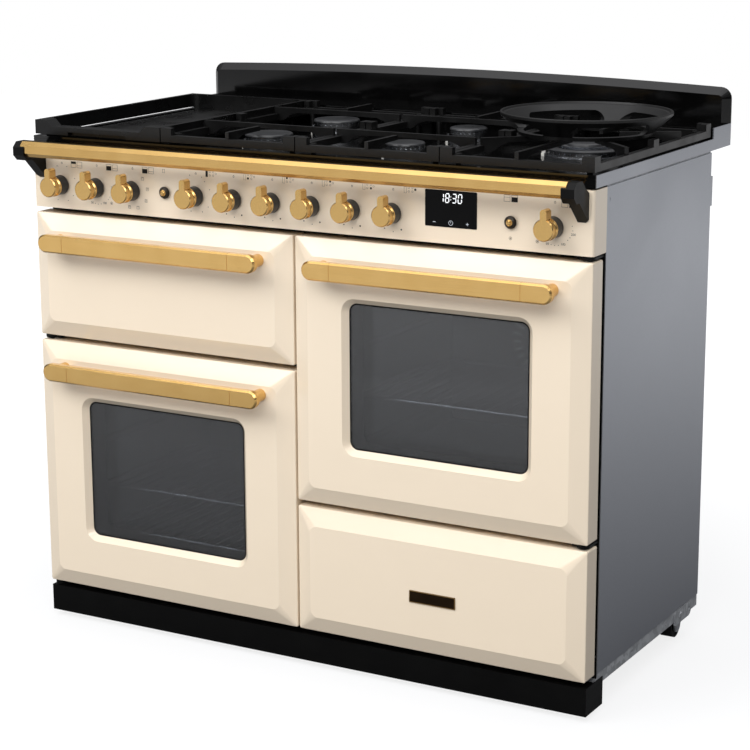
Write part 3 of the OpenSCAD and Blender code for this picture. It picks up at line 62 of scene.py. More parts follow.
lens = bpy.data.cameras.new("photo_camera")
lens.lens = LENS
lens.sensor_width = 36.0
lens.clip_end = 60.0
camera = bpy.data.objects.new("photo_camera", lens)
bpy.context.scene.collection.objects.link(camera)
turn = (LOOK_AT - CAMERA_AT).to_track_quat("-Z", "Y").to_matrix().to_4x4()
camera.matrix_world = Matrix.Translation(CAMERA_AT) @ turn @ Matrix.Rotation(ROLL, 4, "Z")
bpy.context.scene.camera = camera
print("camera to middle:", round((LOOK_AT - CAMERA_AT).length, 3), "m")

# %% [markdown]
# ## Helpers for modelling
#
# Every new piece starts as a primitive and is then shaped in edit mode, as it would be by hand.
# An operator works on all that is selected, so we clear the selection first, and pick faces or
# edges by where they are and which way they look.

# %% Helpers: selection and primitives
MM = 0.001


def clear_selection():
    """leaves nothing selected"""
    if bpy.context.object and bpy.context.object.mode != "OBJECT":
        bpy.ops.object.mode_set(mode="OBJECT")
    bpy.ops.object.select_all(action="DESELECT")


def make_active(piece):
    """selects one piece alone and makes it active"""
    clear_selection()
    piece.select_set(True)
    bpy.context.view_layer.objects.active = piece
    return piece


def settle(name):
    """names the active piece and puts its place, turn and size into its mesh"""
    piece = bpy.context.object
    piece.name = name
    piece.data.name = name
    bpy.ops.object.transform_apply(location=True, rotation=True, scale=True)
    return piece


def new_box(name, low, high):
    """a box from its lowest to its highest corner, in metres"""
    clear_selection()
    low, high = Vector(low), Vector(high)
    bpy.ops.mesh.primitive_cube_add(size=1.0, location=(low + high) / 2, scale=high - low)
    return settle(name)


def new_rod(name, at, radius, length, axis="Y", sides=24):
    """a round bar whose middle is at a place, along one axis"""
    clear_selection()
    turns = {"X": (0, math.pi / 2, 0), "Y": (math.pi / 2, 0, 0), "Z": (0, 0, 0)}
    bpy.ops.mesh.primitive_cylinder_add(
        vertices=sides, radius=radius, depth=length, location=at, rotation=turns[axis])
    return settle(name)


def new_disc(name, at, radius, sides=20):
    """a flat round face that looks to the front"""
    clear_selection()
    bpy.ops.mesh.primitive_circle_add(
        vertices=sides, radius=radius, fill_type="NGON", location=at, rotation=(math.pi / 2, 0, 0))
    return settle(name)


def new_tile(name, at, width, height):
    """a flat rectangle that looks to the front"""
    clear_selection()
    bpy.ops.mesh.primitive_plane_add(size=1.0, location=at, rotation=(math.pi / 2, 0, 0))
    bpy.context.object.scale = (width, height, 1.0)
    return settle(name)


# %% Helpers: edit mode
def pick_faces(piece, test):
    """in edit mode, selects the faces for which test(middle, normal) holds"""
    mesh = bmesh.from_edit_mesh(piece.data)
    for face in mesh.faces:
        face.select_set(bool(test(face.calc_center_median(), face.normal)))
    mesh.select_flush_mode()
    bmesh.update_edit_mesh(piece.data)
    return sum(face.select for face in mesh.faces)


def pick_edges(piece, test):
    """in edit mode, selects the edges for which test(start, end) holds"""
    mesh = bmesh.from_edit_mesh(piece.data)
    for edge in mesh.edges:
        edge.select_set(bool(test(edge.verts[0].co, edge.verts[1].co)))
    mesh.select_flush_mode()
    bmesh.update_edit_mesh(piece.data)
    return sum(edge.select for edge in mesh.edges)


def edit(piece, mode="FACE"):
    """opens a piece in edit mode with nothing selected"""
    make_active(piece)
    bpy.ops.object.mode_set(mode="EDIT")
    bpy.ops.mesh.select_mode(type=mode)
    bpy.ops.mesh.select_all(action="DESELECT")


def done():
    """closes edit mode"""
    bpy.ops.object.mode_set(mode="OBJECT")


def hollow(piece, width):
    """leaves a flat face as a frame of a width"""
    edit(piece)
    bpy.ops.mesh.select_all(action="SELECT")
    bpy.ops.mesh.inset(thickness=width)
    bpy.ops.mesh.delete(type="FACE")
    done()
    return piece


def thicken(piece, depth):
    """gives a flat piece a thickness towards the front"""
    make_active(piece)
    wall = piece.modifiers.new("thickness", "SOLIDIFY")
    wall.thickness = depth
    wall.offset = 1.0
    bpy.ops.object.modifier_apply(modifier=wall.name)
    return piece


def join(name, pieces):
    """joins pieces into one mesh"""
    make_active(pieces[0])
    for piece in pieces[1:]:
        piece.select_set(True)
    bpy.ops.object.join()
    joined = bpy.context.object
    joined.name = name
    joined.data.name = name
    return joined


def finish_with(piece, material):
    """gives a new piece its only finish"""
    piece.data.materials.clear()
    piece.data.materials.append(material)


def copy_to(piece, name, shift):
    """a copy with its own mesh, moved by a shift that goes into the mesh"""
    twin = piece.copy()
    twin.data = piece.data.copy()
    bpy.context.scene.collection.objects.link(twin)
    twin.data.transform(Matrix.Translation(Vector(shift)))
    twin.name = name
    twin.data.name = name
    return twin


# %% [markdown]
# ## Colours
#
# A colour picked from a photograph is in sRGB, while a shader works with light. The curve
# between the two is short enough to write out, and it keeps the numbers readable as 0 to 255.

# %% Colours
def light(r, g, b):
    """an sRGB colour of 0 to 255, as the shader's linear colour"""
    def channel(c):
        c /= 255.0
        return c / 12.92 if c <= 0.04045 else ((c + 0.055) / 1.055) ** 2.4
    return (channel(r), channel(g), channel(b), 1.0)


# %% [markdown]
# ## Shared surface effects
#
# Some effects come back on many finishes: the faint ripple of fired enamel, the long scratches of
# brushed metal, the pebbled skin of cast iron, and the film that hands leave. Each is built once
# as a node group that puts out a mask or a height, and every material sets its own numbers.

# %% Group tools
def new_group(name, inputs, outputs):
    """an empty shader node group with float inputs (name, value) and outputs (name, type)"""
    group = bpy.data.node_groups.new(name, "ShaderNodeTree")
    for label, value in inputs:
        socket = group.interface.new_socket(label, in_out="INPUT", socket_type="NodeSocketFloat")
        socket.default_value = value
    for label, kind in outputs:
        group.interface.new_socket(label, in_out="OUTPUT", socket_type=kind)
    start = group.nodes.new("NodeGroupInput")
    end = group.nodes.new("NodeGroupOutput")
    return group, start, end


def add(tree, kind, **values):
    """a node with its settings, and its unlinked inputs by name"""
    node = tree.nodes.new(kind)
    for key, value in values.items():
        if hasattr(node, key):
            setattr(node, key, value)
        else:
            node.inputs[key.replace("_", " ")].default_value = value
    return node


def on_object(tree, kind, **values):
    """a node fed with the object's own coordinates"""
    node = add(tree, kind, **values)
    place = add(tree, "ShaderNodeTexCoord")
    tree.links.new(place.outputs["Object"], node.inputs["Vector"])
    return node


def feed(tree, node, values):
    """fills a node's inputs, each with a number, a colour or a socket"""
    for slot, value in values.items():
        if hasattr(value, "links"):
            tree.links.new(value, node.inputs[slot])
        elif value is not None:
            node.inputs[slot].default_value = value


def math_node(tree, operation, a, b=None):
    """a Math node whose inputs are numbers or sockets"""
    node = add(tree, "ShaderNodeMath", operation=operation)
    feed(tree, node, {0: a, 1: b})
    return node.outputs[0]


FLOAT = "NodeSocketFloat"


# %% Group: ripple of fired enamel
def enamel_ripple_group():
    group, start, end = new_group(
        "enamel_ripple", [("Scale", 260.0), ("Broad Scale", 14.0)],
        [("Height", FLOAT), ("Cloud", FLOAT)])
    fine = on_object(group, "ShaderNodeTexNoise", Detail=1.0)
    broad = on_object(group, "ShaderNodeTexNoise", Detail=2.0)
    group.links.new(start.outputs["Scale"], fine.inputs["Scale"])
    group.links.new(start.outputs["Broad Scale"], broad.inputs["Scale"])
    both = math_node(group, "MULTIPLY_ADD", broad.outputs["Fac"], 3.0)
    group.links.new(fine.outputs["Fac"], both.node.inputs[2])
    group.links.new(both, end.inputs["Height"])
    group.links.new(broad.outputs["Fac"], end.inputs["Cloud"])
    return group


# %% Group: brushed metal
def brushed_group():
    """scratches that run along X; a material turns them with its own Mapping"""
    group = bpy.data.node_groups.new("brushed_lines", "ShaderNodeTree")
    group.interface.new_socket("Vector", in_out="INPUT", socket_type="NodeSocketVector")
    fine_in = group.interface.new_socket("Lines", in_out="INPUT", socket_type=FLOAT)
    fine_in.default_value = 900.0
    group.interface.new_socket("Lines", in_out="OUTPUT", socket_type=FLOAT)
    group.interface.new_socket("Blotch", in_out="OUTPUT", socket_type=FLOAT)
    start = group.nodes.new("NodeGroupInput")
    end = group.nodes.new("NodeGroupOutput")
    stretch = add(group, "ShaderNodeMapping")
    stretch.inputs["Scale"].default_value = (0.02, 1.0, 1.0)
    fine = add(group, "ShaderNodeTexNoise", Detail=3.0)
    blotch = add(group, "ShaderNodeTexNoise", Scale=22.0, Detail=2.0)
    group.links.new(start.outputs["Vector"], stretch.inputs["Vector"])
    group.links.new(stretch.outputs["Vector"], fine.inputs["Vector"])
    group.links.new(start.outputs["Lines"], fine.inputs["Scale"])
    group.links.new(start.outputs["Vector"], blotch.inputs["Vector"])
    group.links.new(fine.outputs["Fac"], end.inputs["Lines"])
    group.links.new(blotch.outputs["Fac"], end.inputs["Blotch"])
    return group


# %% Group: cast iron skin
def cast_skin_group():
    group, start, end = new_group(
        "cast_skin", [("Grain", 700.0), ("Pits", 240.0)],
        [("Height", FLOAT), ("Patch", FLOAT)])
    grain = on_object(group, "ShaderNodeTexNoise", Detail=4.0)
    pits = on_object(group, "ShaderNodeTexVoronoi")
    patch = on_object(group, "ShaderNodeTexNoise", Scale=18.0, Detail=3.0)
    group.links.new(start.outputs["Grain"], grain.inputs["Scale"])
    group.links.new(start.outputs["Pits"], pits.inputs["Scale"])
    shallow = math_node(group, "MULTIPLY", pits.outputs["Distance"], 0.6)
    group.links.new(math_node(group, "ADD", shallow, grain.outputs["Fac"]), end.inputs["Height"])
    group.links.new(patch.outputs["Fac"], end.inputs["Patch"])
    return group


# %% Group: enamel with pale specks, as inside an oven
def speckle_group():
    group, start, end = new_group(
        "oven_speckle", [("Scale", 420.0), ("Share", 0.2)], [("Speck", FLOAT)])
    cells = on_object(group, "ShaderNodeTexVoronoi")
    group.links.new(start.outputs["Scale"], cells.inputs["Scale"])
    near = math_node(group, "LESS_THAN", cells.outputs["Distance"], None)
    group.links.new(start.outputs["Share"], near.node.inputs[1])
    group.links.new(near, end.inputs["Speck"])
    return group


# %% Group: film left by hands and cloths
def film_group():
    group, start, end = new_group(
        "hand_film", [("Scale", 6.0), ("Low", 0.3), ("High", 0.4)], [("Roughness", FLOAT)])
    cloud = on_object(group, "ShaderNodeTexNoise", Detail=4.0, Distortion=0.6)
    span = add(group, "ShaderNodeMapRange", From_Min=0.3, From_Max=0.7)
    group.links.new(start.outputs["Scale"], cloud.inputs["Scale"])
    group.links.new(cloud.outputs["Fac"], span.inputs["Value"])
    group.links.new(start.outputs["Low"], span.inputs["To Min"])
    group.links.new(start.outputs["High"], span.inputs["To Max"])
    group.links.new(span.outputs["Result"], end.inputs["Roughness"])
    return group


RIPPLE = enamel_ripple_group()
BRUSHED = brushed_group()
CAST_SKIN = cast_skin_group()
SPECKLE = speckle_group()
FILM = film_group()
print("effect groups:", [g.name for g in bpy.data.node_groups])


# %% [markdown]
# ## Building a material
#
# A material here is a Principled BSDF whose plain values are set on its own sockets. The groups
# above feed its roughness, its bump and a slight change of colour, so that no finish is one flat
# tone. A few small functions keep the steps the same for each finish.

# %% Material tools
def new_material(name, color, roughness, metallic=0.0, **more):
    """a material with a Principled BSDF, and the tree to add to"""
    material = bpy.data.materials.new(name)
    material.use_nodes = True
    tree = material.node_tree
    shader = tree.nodes["Principled BSDF"]
    shader.inputs["Base Color"].default_value = color
    shader.inputs["Roughness"].default_value = roughness
    shader.inputs["Metallic"].default_value = metallic
    for key, value in more.items():
        shader.inputs[key.replace("_", " ")].default_value = value
    return material, tree, shader


def use_group(tree, group, **values):
    """places a node group in a material with its own values"""
    node = tree.nodes.new("ShaderNodeGroup")
    node.node_tree = group
    for key, value in values.items():
        node.inputs[key.replace("_", " ")].default_value = value
    return node


def film_on(tree, shader, **values):
    """lets the film of hands change the shader's roughness"""
    film = use_group(tree, FILM, **values)
    tree.links.new(film.outputs["Roughness"], shader.inputs["Roughness"])


def bump_from(tree, shader, height, strength, distance):
    """turns a height into the shader's normal"""
    bump = add(tree, "ShaderNodeBump", Strength=strength, Distance=distance)
    tree.links.new(height, bump.inputs["Height"])
    tree.links.new(bump.outputs["Normal"], shader.inputs["Normal"])
    return bump


def span_to(tree, value, low, high):
    """a value of 0 to 1, moved to the range from low to high"""
    span = add(tree, "ShaderNodeMapRange", To_Min=low, To_Max=high)
    tree.links.new(value, span.inputs["Value"])
    return span.outputs["Result"]


def tint_from(tree, mask, dark, pale):
    """a colour between two, by a mask that is mostly near a half"""
    ramp = add(tree, "ShaderNodeValToRGB")
    ramp.color_ramp.elements[0].position = 0.3
    ramp.color_ramp.elements[1].position = 0.7
    ramp.color_ramp.elements[0].color = dark
    ramp.color_ramp.elements[1].color = pale
    tree.links.new(mask, ramp.inputs["Fac"])
    return ramp.outputs["Color"]


def axis_mask(tree, axis, edge, width=0.0004):
    """1 where the object coordinate is past an edge, 0 before it"""
    parts = on_object(tree, "ShaderNodeSeparateXYZ")
    span = add(tree, "ShaderNodeMapRange", From_Min=edge - width / 2, From_Max=edge + width / 2)
    tree.links.new(parts.outputs[axis], span.inputs["Value"])
    return span.outputs["Result"]


def mix_color(tree, mask, a, b):
    """colour a where the mask is 0 and b where it is 1"""
    node = add(tree, "ShaderNodeMix", data_type="RGBA")
    tree.links.new(mask, node.inputs[0])
    feed(tree, node, {6: a, 7: b})
    return node.outputs[2]


def mix_value(tree, mask, a, b):
    """value a where the mask is 0 and b where it is 1"""
    node = add(tree, "ShaderNodeMix")
    tree.links.new(mask, node.inputs[0])
    feed(tree, node, {2: a, 3: b})
    return node.outputs[0]


# %% [markdown]
# ## Enamels
#
# The fronts are steel with fired enamel: a warm cream, smooth and glossy, with the very slight
# waviness that glass has when it melts on steel. A plain glossy colour would look like plastic.
# The hob and the splashback are the same stuff in black, and the ovens carry a black enamel with
# fine grey specks.

# %% Enamel materials
def enamel(name, dark, pale, gloss, ripple, coat=0.0):
    """fired enamel between two close colours, with its ripple"""
    material, tree, shader = new_material(name, pale, gloss, Coat_Weight=coat, Coat_Roughness=0.08)
    wave = use_group(tree, RIPPLE)
    film = use_group(tree, FILM, Low=gloss * 0.97, High=gloss * 1.05)
    tree.links.new(tint_from(tree, wave.outputs["Cloud"], dark, pale), shader.inputs["Base Color"])
    tree.links.new(film.outputs["Roughness"], shader.inputs["Roughness"])
    bump_from(tree, shader, wave.outputs["Height"], ripple, 0.00006)
    return material


CREAM = enamel("cream_enamel", light(239, 223, 200), light(240, 224, 201), 0.24, 0.12, coat=0.35)
BLACK_ENAMEL = enamel("black_enamel", light(3, 3, 3), light(7, 7, 7), 0.10, 0.10)


def oven_enamel():
    """black enamel with fine grey specks"""
    material, tree, shader = new_material("oven_enamel", light(20, 20, 21), 0.4)
    speck = use_group(tree, SPECKLE)
    wave = use_group(tree, RIPPLE, Scale=180.0)
    base = tint_from(tree, wave.outputs["Cloud"], light(13, 13, 14), light(18, 18, 19))
    tree.links.new(mix_color(tree, speck.outputs["Speck"], base, light(64, 66, 69)),
                   shader.inputs["Base Color"])
    bump_from(tree, shader, wave.outputs["Height"], 0.3, 0.00008)
    return material


OVEN_ENAMEL = oven_enamel()


# %% [markdown]
# ## Metals
#
# Brushed brass shows fine parallel scratches, along the length of each bar. We stretch a noise
# along X, let it change the roughness and the bump a little, and let a broad noise shift the
# colour. Bare metals differ mainly in tone and in how long the scratches are.

# %% Metal materials
def brushed_metal(name, dark, pale, low, high, lines=900.0, turn=(0.0, 0.0, 0.0), bump=0.25):
    """brushed metal whose lines run along X before the turn"""
    material, tree, shader = new_material(name, pale, low, metallic=1.0)
    mapping = on_object(tree, "ShaderNodeMapping", Rotation=turn)
    brush = use_group(tree, BRUSHED, Lines=lines)
    tree.links.new(mapping.outputs["Vector"], brush.inputs["Vector"])
    tree.links.new(tint_from(tree, brush.outputs["Blotch"], dark, pale), shader.inputs["Base Color"])
    tree.links.new(span_to(tree, brush.outputs["Lines"], low, high), shader.inputs["Roughness"])
    bump_from(tree, shader, brush.outputs["Lines"], bump, 0.00004)
    return material, tree, shader


BRASS = brushed_metal("brushed_brass", light(216, 176, 108), light(222, 183, 116), 0.17, 0.27)[0]
CHROME = brushed_metal("chrome_wire", light(196, 198, 202), light(222, 224, 228), 0.10, 0.18,
                       lines=300.0, bump=0.05)[0]
STEEL = brushed_metal("bare_steel", light(150, 152, 156), light(176, 178, 182), 0.28, 0.42)[0]


# %% Cast alloy of the burners, and the galvanised base
def burner_alloy():
    """die-cast alloy: pale, dull, with a fine sanded grain"""
    material, tree, shader = new_material("burner_alloy", light(206, 208, 212), 0.2, metallic=1.0)
    skin = use_group(tree, CAST_SKIN, Grain=1500.0, Pits=600.0)
    tree.links.new(tint_from(tree, skin.outputs["Patch"], light(188, 190, 194), light(216, 218, 222)),
                   shader.inputs["Base Color"])
    film_on(tree, shader, Scale=30.0, Low=0.16, High=0.28)
    bump_from(tree, shader, skin.outputs["Height"], 0.25, 0.00005)
    return material


def galvanised():
    """zinc coat: a patchwork of crystals, each a slightly different grey"""
    material, tree, shader = new_material("zinc_steel", light(196, 199, 203), 0.42, metallic=0.3)
    cells = on_object(tree, "ShaderNodeTexVoronoi", Scale=90.0)
    grey = add(tree, "ShaderNodeRGBToBW")
    tree.links.new(cells.outputs["Color"], grey.inputs["Color"])
    tree.links.new(tint_from(tree, grey.outputs["Val"], light(158, 161, 165), light(190, 193, 197)),
                   shader.inputs["Base Color"])
    tree.links.new(span_to(tree, grey.outputs["Val"], 0.34, 0.52), shader.inputs["Roughness"])
    return material


ALLOY = burner_alloy()
ZINC = galvanised()


# %% [markdown]
# ## Painted sides
#
# The side panels carry a grey metallic paint with a soft sheen. Tiny flakes catch the light one by
# one, so the colour flickers very finely, and the broad reflection of the room does the rest.

# %% Side paint
def side_paint():
    """grey metallic paint with fine flakes"""
    material, tree, shader = new_material("side_paint", light(150, 153, 160), 0.34, metallic=0.85)
    flakes = on_object(tree, "ShaderNodeTexNoise", Scale=2600.0, Detail=1.0)
    tree.links.new(tint_from(tree, flakes.outputs["Fac"], light(150, 153, 160), light(170, 173, 180)),
                   shader.inputs["Base Color"])
    film_on(tree, shader, Scale=3.0, Low=0.30, High=0.38)
    bump_from(tree, shader, flakes.outputs["Fac"], 0.1, 0.00002)
    return material


SIDE_PAINT = side_paint()


# %% [markdown]
# ## Cast iron
#
# The pan supports, the wok ring and the griddle are cast iron with a thin matt enamel. The mould
# leaves a pebbled skin: small grain with shallow pits. It shows as a soft, broken highlight.

# %% Cast iron, cap enamel and satin black
def cast_iron(name, dark, pale, low, high, bump, shine=0.5):
    """black castings with a pebbled skin"""
    material, tree, shader = new_material(name, pale, low, Specular_IOR_Level=shine)
    skin = use_group(tree, CAST_SKIN)
    tree.links.new(tint_from(tree, skin.outputs["Patch"], dark, pale), shader.inputs["Base Color"])
    film_on(tree, shader, Scale=24.0, Low=low, High=high)
    bump_from(tree, shader, skin.outputs["Height"], bump, 0.0002)
    return material


CAST_BLACK = cast_iron("cast_black", light(6, 6, 6), light(11, 11, 11), 0.30, 0.42, 0.35, 0.4)
GRIDDLE_BLACK = cast_iron("griddle_black", light(5, 5, 5), light(9, 9, 9), 0.24, 0.36, 0.2, 0.4)
CAP_ENAMEL = cast_iron("cap_enamel", light(38, 39, 41), light(52, 53, 55), 0.26, 0.38, 0.12)
SATIN_BLACK = cast_iron("satin_black", light(5, 5, 5), light(8, 8, 8), 0.34, 0.42, 0.06, 0.14)
RUBBER = cast_iron("seal_rubber", light(34, 34, 35), light(46, 46, 47), 0.7, 0.85, 0.2)


# %% [markdown]
# ## Glass
#
# The oven windows are smoked glass: it lets a little light through, so the shelves show faintly,
# and it mirrors the room in front. Real glass in the shader does both. The display is a black
# pane that hides its own lamps until they glow.

# %% Glass materials
def smoked_glass():
    """dark glass that a lit oven would shine through"""
    material, tree, shader = new_material(
        "smoked_glass", light(198, 200, 203), 0.02, Transmission_Weight=0.97, IOR=1.5)
    film_on(tree, shader, Scale=9.0, Low=0.01, High=0.05)
    wave = use_group(tree, RIPPLE, Scale=60.0)
    bump_from(tree, shader, wave.outputs["Height"], 0.05, 0.00002)
    return material


def display_glass():
    """black pane of the clock"""
    material, tree, shader = new_material("display_glass", light(3, 3, 4), 0.06, Specular_IOR_Level=0.08)
    film_on(tree, shader, Scale=20.0, Low=0.04, High=0.12)
    return material


def glowing(name, color, strength):
    """a lit segment of the display, a little uneven as real ones are"""
    material, tree, shader = new_material(name, color, 0.4)
    cloud = on_object(tree, "ShaderNodeTexNoise", Scale=300.0)
    dim = tuple(c * 0.86 for c in color[:3]) + (1.0,)
    tree.links.new(tint_from(tree, cloud.outputs["Fac"], dim, color), shader.inputs["Emission Color"])
    shader.inputs["Emission Strength"].default_value = strength
    return material


SMOKED_GLASS = smoked_glass()
DISPLAY_GLASS = display_glass()
DIGIT_LIGHT = glowing("digit_light", light(240, 244, 248), 0.9)
SYMBOL_LIGHT = glowing("symbol_light", light(170, 176, 184), 0.55)


# %% [markdown]
# ## Pieces of two finishes
#
# A knob is one turned solid with a brass body in front of a dark skirt. Two objects would need a
# seam that is not there, so the material changes along Y instead. The push buttons and the
# service fittings are treated in the same way.

# %% Two-tone materials
def two_tone(name, axis, edge, before, after):
    """two finishes in one material; each is (colour, roughness, metallic)"""
    material, tree, shader = new_material(name, before[0], before[1])
    mask = axis_mask(tree, axis, edge)
    grain = on_object(tree, "ShaderNodeTexNoise", Scale=500.0, Detail=2.0)
    tones = [tint_from(tree, grain.outputs["Fac"],
                       tuple(c * 0.9 for c in tone[0][:3]) + (1.0,), tone[0])
             for tone in (before, after)]
    tree.links.new(mix_color(tree, mask, *tones), shader.inputs["Base Color"])
    tree.links.new(mix_value(tree, mask, before[1], after[1]), shader.inputs["Roughness"])
    tree.links.new(mix_value(tree, mask, before[2], after[2]), shader.inputs["Metallic"])
    bump_from(tree, shader, grain.outputs["Fac"], 0.08, 0.00004)
    return material


PANEL_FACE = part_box("control_panel")[0].y
KNOB_METAL_DEPTH = 18 * MM
knob_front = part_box("knob_wok")[0].y
BRASS_TONE = (light(220, 181, 114), 0.25, 1.0)
SKIRT_TONE = (light(34, 35, 38), 0.36, 0.4)
KNOB_FINISH = two_tone("knob_finish", "Y", knob_front + KNOB_METAL_DEPTH, BRASS_TONE, SKIRT_TONE)

BUTTON_COLLAR = 9.0 * MM
BUTTON_FINISH = two_tone("button_finish", "Y", PANEL_FACE - BUTTON_COLLAR, BRASS_TONE,
                         (light(44, 38, 32), 0.35, 0.6))
SERVICE_FINISH = two_tone("service_finish", "X", 0.0, (light(60, 61, 63), 0.55, 0.0),
                          (light(186, 158, 100), 0.36, 1.0))


# %% [markdown]
# ## Dressing the model
#
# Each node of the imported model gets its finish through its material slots. The list below reads
# like a parts list, so it is easy to see that nothing is left in its plain colour.

# %% Finishes by node
FINISHES = {
    CREAM: ["control_panel", "left_door_panel", "right_door_panel", "grill_front", "drawer_front"],
    BRASS: ["rail_bar", "left_door_handle", "right_door_handle", "grill_handle"],
    BLACK_ENAMEL: ["hob_top", "splashback", "left_door_liner", "right_door_liner"],
    SATIN_BLACK: ["plinth", "rail_brackets", "front_frame"],
    SIDE_PAINT: ["side_panel_left", "side_panel_right", "hob_side_trims"],
    ZINC: ["base_tray", "back_panel", "chassis_rails"],
    OVEN_ENAMEL: ["oven_cavities", "grill_chamber", "fan_covers", "grill_pan"],
    CAST_BLACK: ["pan_support_left", "pan_support_middle", "pan_support_right", "wok_ring"],
    GRIDDLE_BLACK: ["griddle"],
    ALLOY: ["burner_heads", "gas_taps"],
    CAP_ENAMEL: ["burner_caps"],
    CHROME: ["oven_shelves"],
    STEEL: ["heating_elements", "fan_motors", "fan_left", "fan_right", "grill_carriage",
            "drawer_box"],
    SMOKED_GLASS: ["left_door_glass", "right_door_glass"],
    DISPLAY_GLASS: ["display_window"],
    RUBBER: ["door_seals", "rear_roller_left", "rear_roller_right"],
    SERVICE_FINISH: ["service_inlets"],
    BUTTON_FINISH: ["button_spark", "button_light"],
    KNOB_FINISH: sorted(name for name in NODES if name.startswith("knob_")),
}


def dress(node, material):
    """gives a node of the frame its finish"""
    for slot in NODES[node].material_slots:
        slot.material = material


for finish, members in FINISHES.items():
    for member in members:
        dress(member, finish)
undressed = sorted(set(NODES) - {m for members in FINISHES.values() for m in members})
print("nodes without a finish:", undressed)

# %% [markdown]
# ## The plate on the drawer
#
# A small bronze plate is riveted to the middle of the lower drawer. We start from a box, bevel
# its outline, and inset its face to leave a raised rim round a bare field.

# %% Drawer plate
PLATE_W, PLATE_H, PLATE_T = 87 * MM, 21 * MM, 1.6 * MM
PLATE_BELOW = 11 * MM
PLATE_RIM = 1.4 * MM

low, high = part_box("drawer_front")
plate_x = (low.x + high.x) / 2 - 3 * MM
plate_z = (low.z + high.z) / 2 - PLATE_BELOW
plate_y = low.y
plate = new_box("drawer_plate",
                (plate_x - PLATE_W / 2, plate_y - PLATE_T, plate_z - PLATE_H / 2),
                (plate_x + PLATE_W / 2, plate_y - 0.02 * MM, plate_z + PLATE_H / 2))
edit(plate, "EDGE")
pick_edges(plate, lambda a, b: abs(a.y - b.y) > PLATE_T / 2)
bpy.ops.mesh.bevel(offset=1.2 * MM, segments=4)
bpy.ops.mesh.select_mode(type="FACE")
pick_faces(plate, lambda middle, normal: normal.y < -0.9)
bpy.ops.mesh.inset(thickness=PLATE_RIM)
bpy.ops.mesh.extrude_region_move(TRANSFORM_OT_translate={"value": (0, 0.7 * MM, 0)})
done()
soft = plate.modifiers.new("soft_edges", "BEVEL")
soft.width = 0.25 * MM
soft.segments = 2
soft.limit_method = "ANGLE"
make_active(plate)
bpy.ops.object.modifier_apply(modifier=soft.name)
print("plate faces:", len(plate.data.polygons))


# %% Plate finish: dark field, brighter rim
def plate_finish():
    """bronze that is dark in its field and worn bright on the rim"""
    material, tree, shader = brushed_metal(
        "plate_bronze", light(50, 38, 27), light(66, 51, 36), 0.3, 0.45)
    dark = shader.inputs["Base Color"].links[0].from_socket
    rim = axis_mask(tree, "Y", plate_y - PLATE_T + 0.4 * MM, 0.2 * MM)
    tree.links.new(mix_color(tree, rim, light(176, 142, 92), dark), shader.inputs["Base Color"])
    return material


finish_with(plate, plate_finish())
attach(plate, "storage_drawer")

# %% [markdown]
# ## Printed borders of the windows
#
# A matt black border is printed on each outer pane. It hides the edge of the liner and draws the
# thin dark line round the window. We round the corners of a plane with a vertex bevel, inset it
# and delete the inner face.

# %% Window borders
BORDER_W = 4 * MM
BORDER_R = 17 * MM
WINDOW_W, WINDOW_H = 332 * MM, 252 * MM


def window_border(name, glass_node, body):
    """a printed frame on the outer face of a door's outer pane"""
    low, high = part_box(glass_node)
    at = ((low.x + high.x) / 2, low.y - 0.1 * MM, (low.z + high.z) / 2)
    border = new_tile(name, at, WINDOW_W + 4 * MM, WINDOW_H + 4 * MM)
    edit(border, "VERT")
    bpy.ops.mesh.select_all(action="SELECT")
    bpy.ops.mesh.bevel(offset=BORDER_R, segments=10, affect="VERTICES")
    done()
    thicken(hollow(border, BORDER_W), 0.04 * MM)
    finish_with(border, SATIN_BLACK)
    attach(border, body)
    return border


for side in ("left", "right"):
    border = window_border(side + "_window_border", side + "_door_glass", side + "_door")
print("border faces:", len(border.data.polygons))

# %% [markdown]
# ## Screws
#
# The back panel and the cover of the terminal box are held by pan-head screws with a cross slot.
# The head is a cylinder with its rim bevelled round. Two thin boxes are cut out of it with a
# boolean, and the finished screw is copied to each hole.

# %% One screw
HEAD_R, HEAD_H = 4.2 * MM, 2.2 * MM


def new_screw():
    """a pan head that looks to the back, with its seat at the origin"""
    head = new_rod("screw", (0, HEAD_H / 2, 0), HEAD_R, HEAD_H, sides=28)
    edit(head, "EDGE")
    pick_edges(head, lambda a, b: a.y > HEAD_H * 0.9 and b.y > HEAD_H * 0.9)
    bpy.ops.mesh.bevel(offset=1.1 * MM, segments=4)
    done()
    for size in ((2.4, 0.4), (0.4, 2.4)):
        half = Vector((size[0] * MM, 1.0 * MM, size[1] * MM))
        cutter = new_box("cutter", Vector((0, HEAD_H, 0)) - half, Vector((0, HEAD_H, 0)) + half)
        make_active(head)
        cut = head.modifiers.new("slot", "BOOLEAN")
        cut.operation = "DIFFERENCE"
        cut.object = cutter
        bpy.ops.object.modifier_apply(modifier=cut.name)
        bpy.data.objects.remove(cutter)
    return head


screw = new_screw()
low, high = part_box("back_panel")
SEAT = 0.05 * MM
SCREW_IN, SCREW_UP = 8 * MM, 20 * MM
seats = [(x, high.y + SEAT, z) for x in (low.x + SCREW_IN, high.x - SCREW_IN)
         for z in (low.z + SCREW_UP, high.z - SCREW_UP)]
terminal_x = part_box("service_inlets")[0].x + 55 * MM
seats += [(terminal_x + dx * MM, high.y + 32 * MM + SEAT, high.z - (552 - 28) * MM)
          for dx in (-38, 38)]
screws = join("rear_screws", [copy_to(screw, "screw_copy", at) for at in seats])
bpy.data.objects.remove(screw)
finish_with(screws, CHROME)
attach(screws, "case")
print("screws:", len(seats))

# %% [markdown]
# ## Lamps in the ovens
#
# Each oven has a round lamp in its rear wall. Its glass is a thick disc with a domed front: a
# cylinder whose front rim takes a wide bevel, with small ribs cut by insets.

